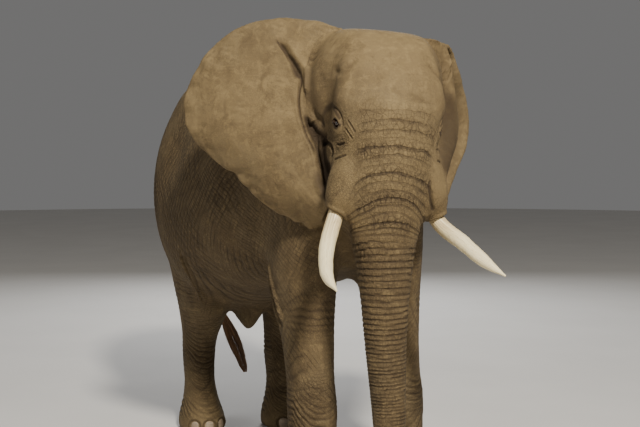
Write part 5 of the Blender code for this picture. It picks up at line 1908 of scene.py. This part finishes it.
class EyeSettings(bpy.types.PropertyGroup):
    iris: tone("Iris", (0.060, 0.028, 0.011))
    white: tone("White of the eye", (0.030, 0.019, 0.013))


class TuskSettings(bpy.types.PropertyGroup):
    ivory: tone("Ivory", (0.960, 0.860, 0.560))
    stain: tone("Stain", (0.400, 0.250, 0.105))


class NailSettings(bpy.types.PropertyGroup):
    horn: tone("Horn", (0.400, 0.315, 0.220))
    soil: tone("Soil", (0.300, 0.210, 0.130))


class HairSettings(bpy.types.PropertyGroup):
    strands: IntProperty(
        name="Strands", description="Hairs in the tail's tuft", default=1000, min=10, max=4000
    )
    strand_width: FloatProperty(
        name="Hair width", description="Half width of one hair",
        default=0.0017, min=0.0002, max=0.01, unit="LENGTH"
    )
    dark_hair: tone("Dark hair", (0.090, 0.050, 0.027))
    rust_hair: tone("Rust hair", (0.420, 0.230, 0.110))


class StageSettings(bpy.types.PropertyGroup):
    lens: FloatProperty(
        name="Lens", description="Focal length", default=59.0625, min=10.0, max=300.0, unit="CAMERA"
    )
    floor_radius: FloatProperty(
        name="Floor radius", description="Radius of the floor",
        default=40.0, min=5.0, max=200.0, unit="LENGTH"
    )
    floor_colour: tone("Floor", (0.62, 0.60, 0.57))
    sky: tone("Sky", (0.92, 0.91, 0.90))
    sky_strength: FloatProperty(
        name="Sky strength", description="Light from all round", default=0.18, min=0.0, max=5.0
    )
    key: FloatProperty(
        name="Key light", description="Power of the main light", default=2800.0, min=0.0, unit="POWER"
    )
    side: FloatProperty(
        name="Side light", description="Power of the side light", default=180.0, min=0.0, unit="POWER"
    )
    back: FloatProperty(
        name="Back light", description="Power of the back light", default=800.0, min=0.0, unit="POWER"
    )


# ---------------------------------------------------------------- operators
class ELEPHANT_OT_hide(bpy.types.Operator):
    """Build the wrinkled hide over all of the flesh and the ears"""

    bl_idname = "elephant.hide"
    bl_label = "Hide"

    def execute(self, context):
        make_hide(context.scene.elephant_hide)
        return {"FINISHED"}


class ELEPHANT_OT_eyes(bpy.types.Operator):
    """Build both eyeballs behind the lids"""

    bl_idname = "elephant.eyes"
    bl_label = "Eyes"

    def execute(self, context):
        material = eye_material(context.scene.elephant_eyes)
        make_eye(RIGHT, "eyeball_right", "eye_right", material)
        make_eye(LEFT, "eyeball_left", "eye_left", material)
        return {"FINISHED"}


class ELEPHANT_OT_tusks(bpy.types.Operator):
    """Build both tusks"""

    bl_idname = "elephant.tusks"
    bl_label = "Tusks"

    def execute(self, context):
        material = ivory_material(context.scene.elephant_tusks)
        make_tusk(TUSK_RIGHT, "ivory_right", "tusk_right", material)
        make_tusk(TUSK_LEFT, "ivory_left", "tusk_left", material)
        return {"FINISHED"}


class ELEPHANT_OT_nails(bpy.types.Operator):
    """Build the toenails of each foot"""

    bl_idname = "elephant.nails"
    bl_label = "Toenails"

    def execute(self, context):
        material = nail_material(context.scene.elephant_nails)
        for foot in FEET:
            make_nails(foot[0], list(nail_spots(foot)), material)
        return {"FINISHED"}


class ELEPHANT_OT_hair(bpy.types.Operator):
    """Build the tail's tuft and the lashes"""

    bl_idname = "elephant.hair"
    bl_label = "Hair"

    def execute(self, context):
        settings = context.scene.elephant_hair
        material = hair_material(settings)
        make_tail_hair(settings, material)
        make_lashes(RIGHT, "lashes_right", material)
        make_lashes(LEFT, "lashes_left", material)
        return {"FINISHED"}


class ELEPHANT_OT_stage(bpy.types.Operator):
    """Set the floor, the lights and the camera"""

    bl_idname = "elephant.stage"
    bl_label = "Stage"

    def execute(self, context):
        settings = context.scene.elephant_stage
        make_floor(settings)
        make_lights(settings)
        make_camera(settings)
        return {"FINISHED"}


OPERATORS = (
    ELEPHANT_OT_hide, ELEPHANT_OT_eyes, ELEPHANT_OT_tusks, ELEPHANT_OT_nails, ELEPHANT_OT_hair,
    ELEPHANT_OT_stage,
)
GROUPS = (
    ("elephant_hide", HideSettings), ("elephant_eyes", EyeSettings), ("elephant_tusks", TuskSettings),
    ("elephant_nails", NailSettings), ("elephant_hair", HairSettings), ("elephant_stage", StageSettings),
)


class ELEPHANT_PT_panel(bpy.types.Panel):
    """Sizes, colours and one button for each kind of piece"""

    bl_label = "African elephant bull"
    bl_idname = "ELEPHANT_PT_panel"
    bl_space_type = "VIEW_3D"
    bl_region_type = "UI"
    bl_category = "Elephant"

    def draw(self, context):
        for operator, (name, group) in zip(OPERATORS, GROUPS):
            box = self.layout.box()
            for key in group.__annotations__:
                box.prop(getattr(context.scene, name), key)
            box.operator(operator.bl_idname)


def register():
    for name, group in GROUPS:
        bpy.utils.register_class(group)
        setattr(bpy.types.Scene, name, PointerProperty(type=group))
    for kind in (*OPERATORS, ELEPHANT_PT_panel):
        bpy.utils.register_class(kind)


def unregister():
    for kind in (ELEPHANT_PT_panel, *reversed(OPERATORS)):
        bpy.utils.unregister_class(kind)
    for name, group in reversed(GROUPS):
        delattr(bpy.types.Scene, name)
        bpy.utils.unregister_class(group)


def main():
    register()
    bpy.ops.elephant.hide()
    bpy.ops.elephant.eyes()
    bpy.ops.elephant.tusks()
    bpy.ops.elephant.nails()
    bpy.ops.elephant.hair()
    bpy.ops.elephant.stage()


if __name__ == "__main__":
    main()
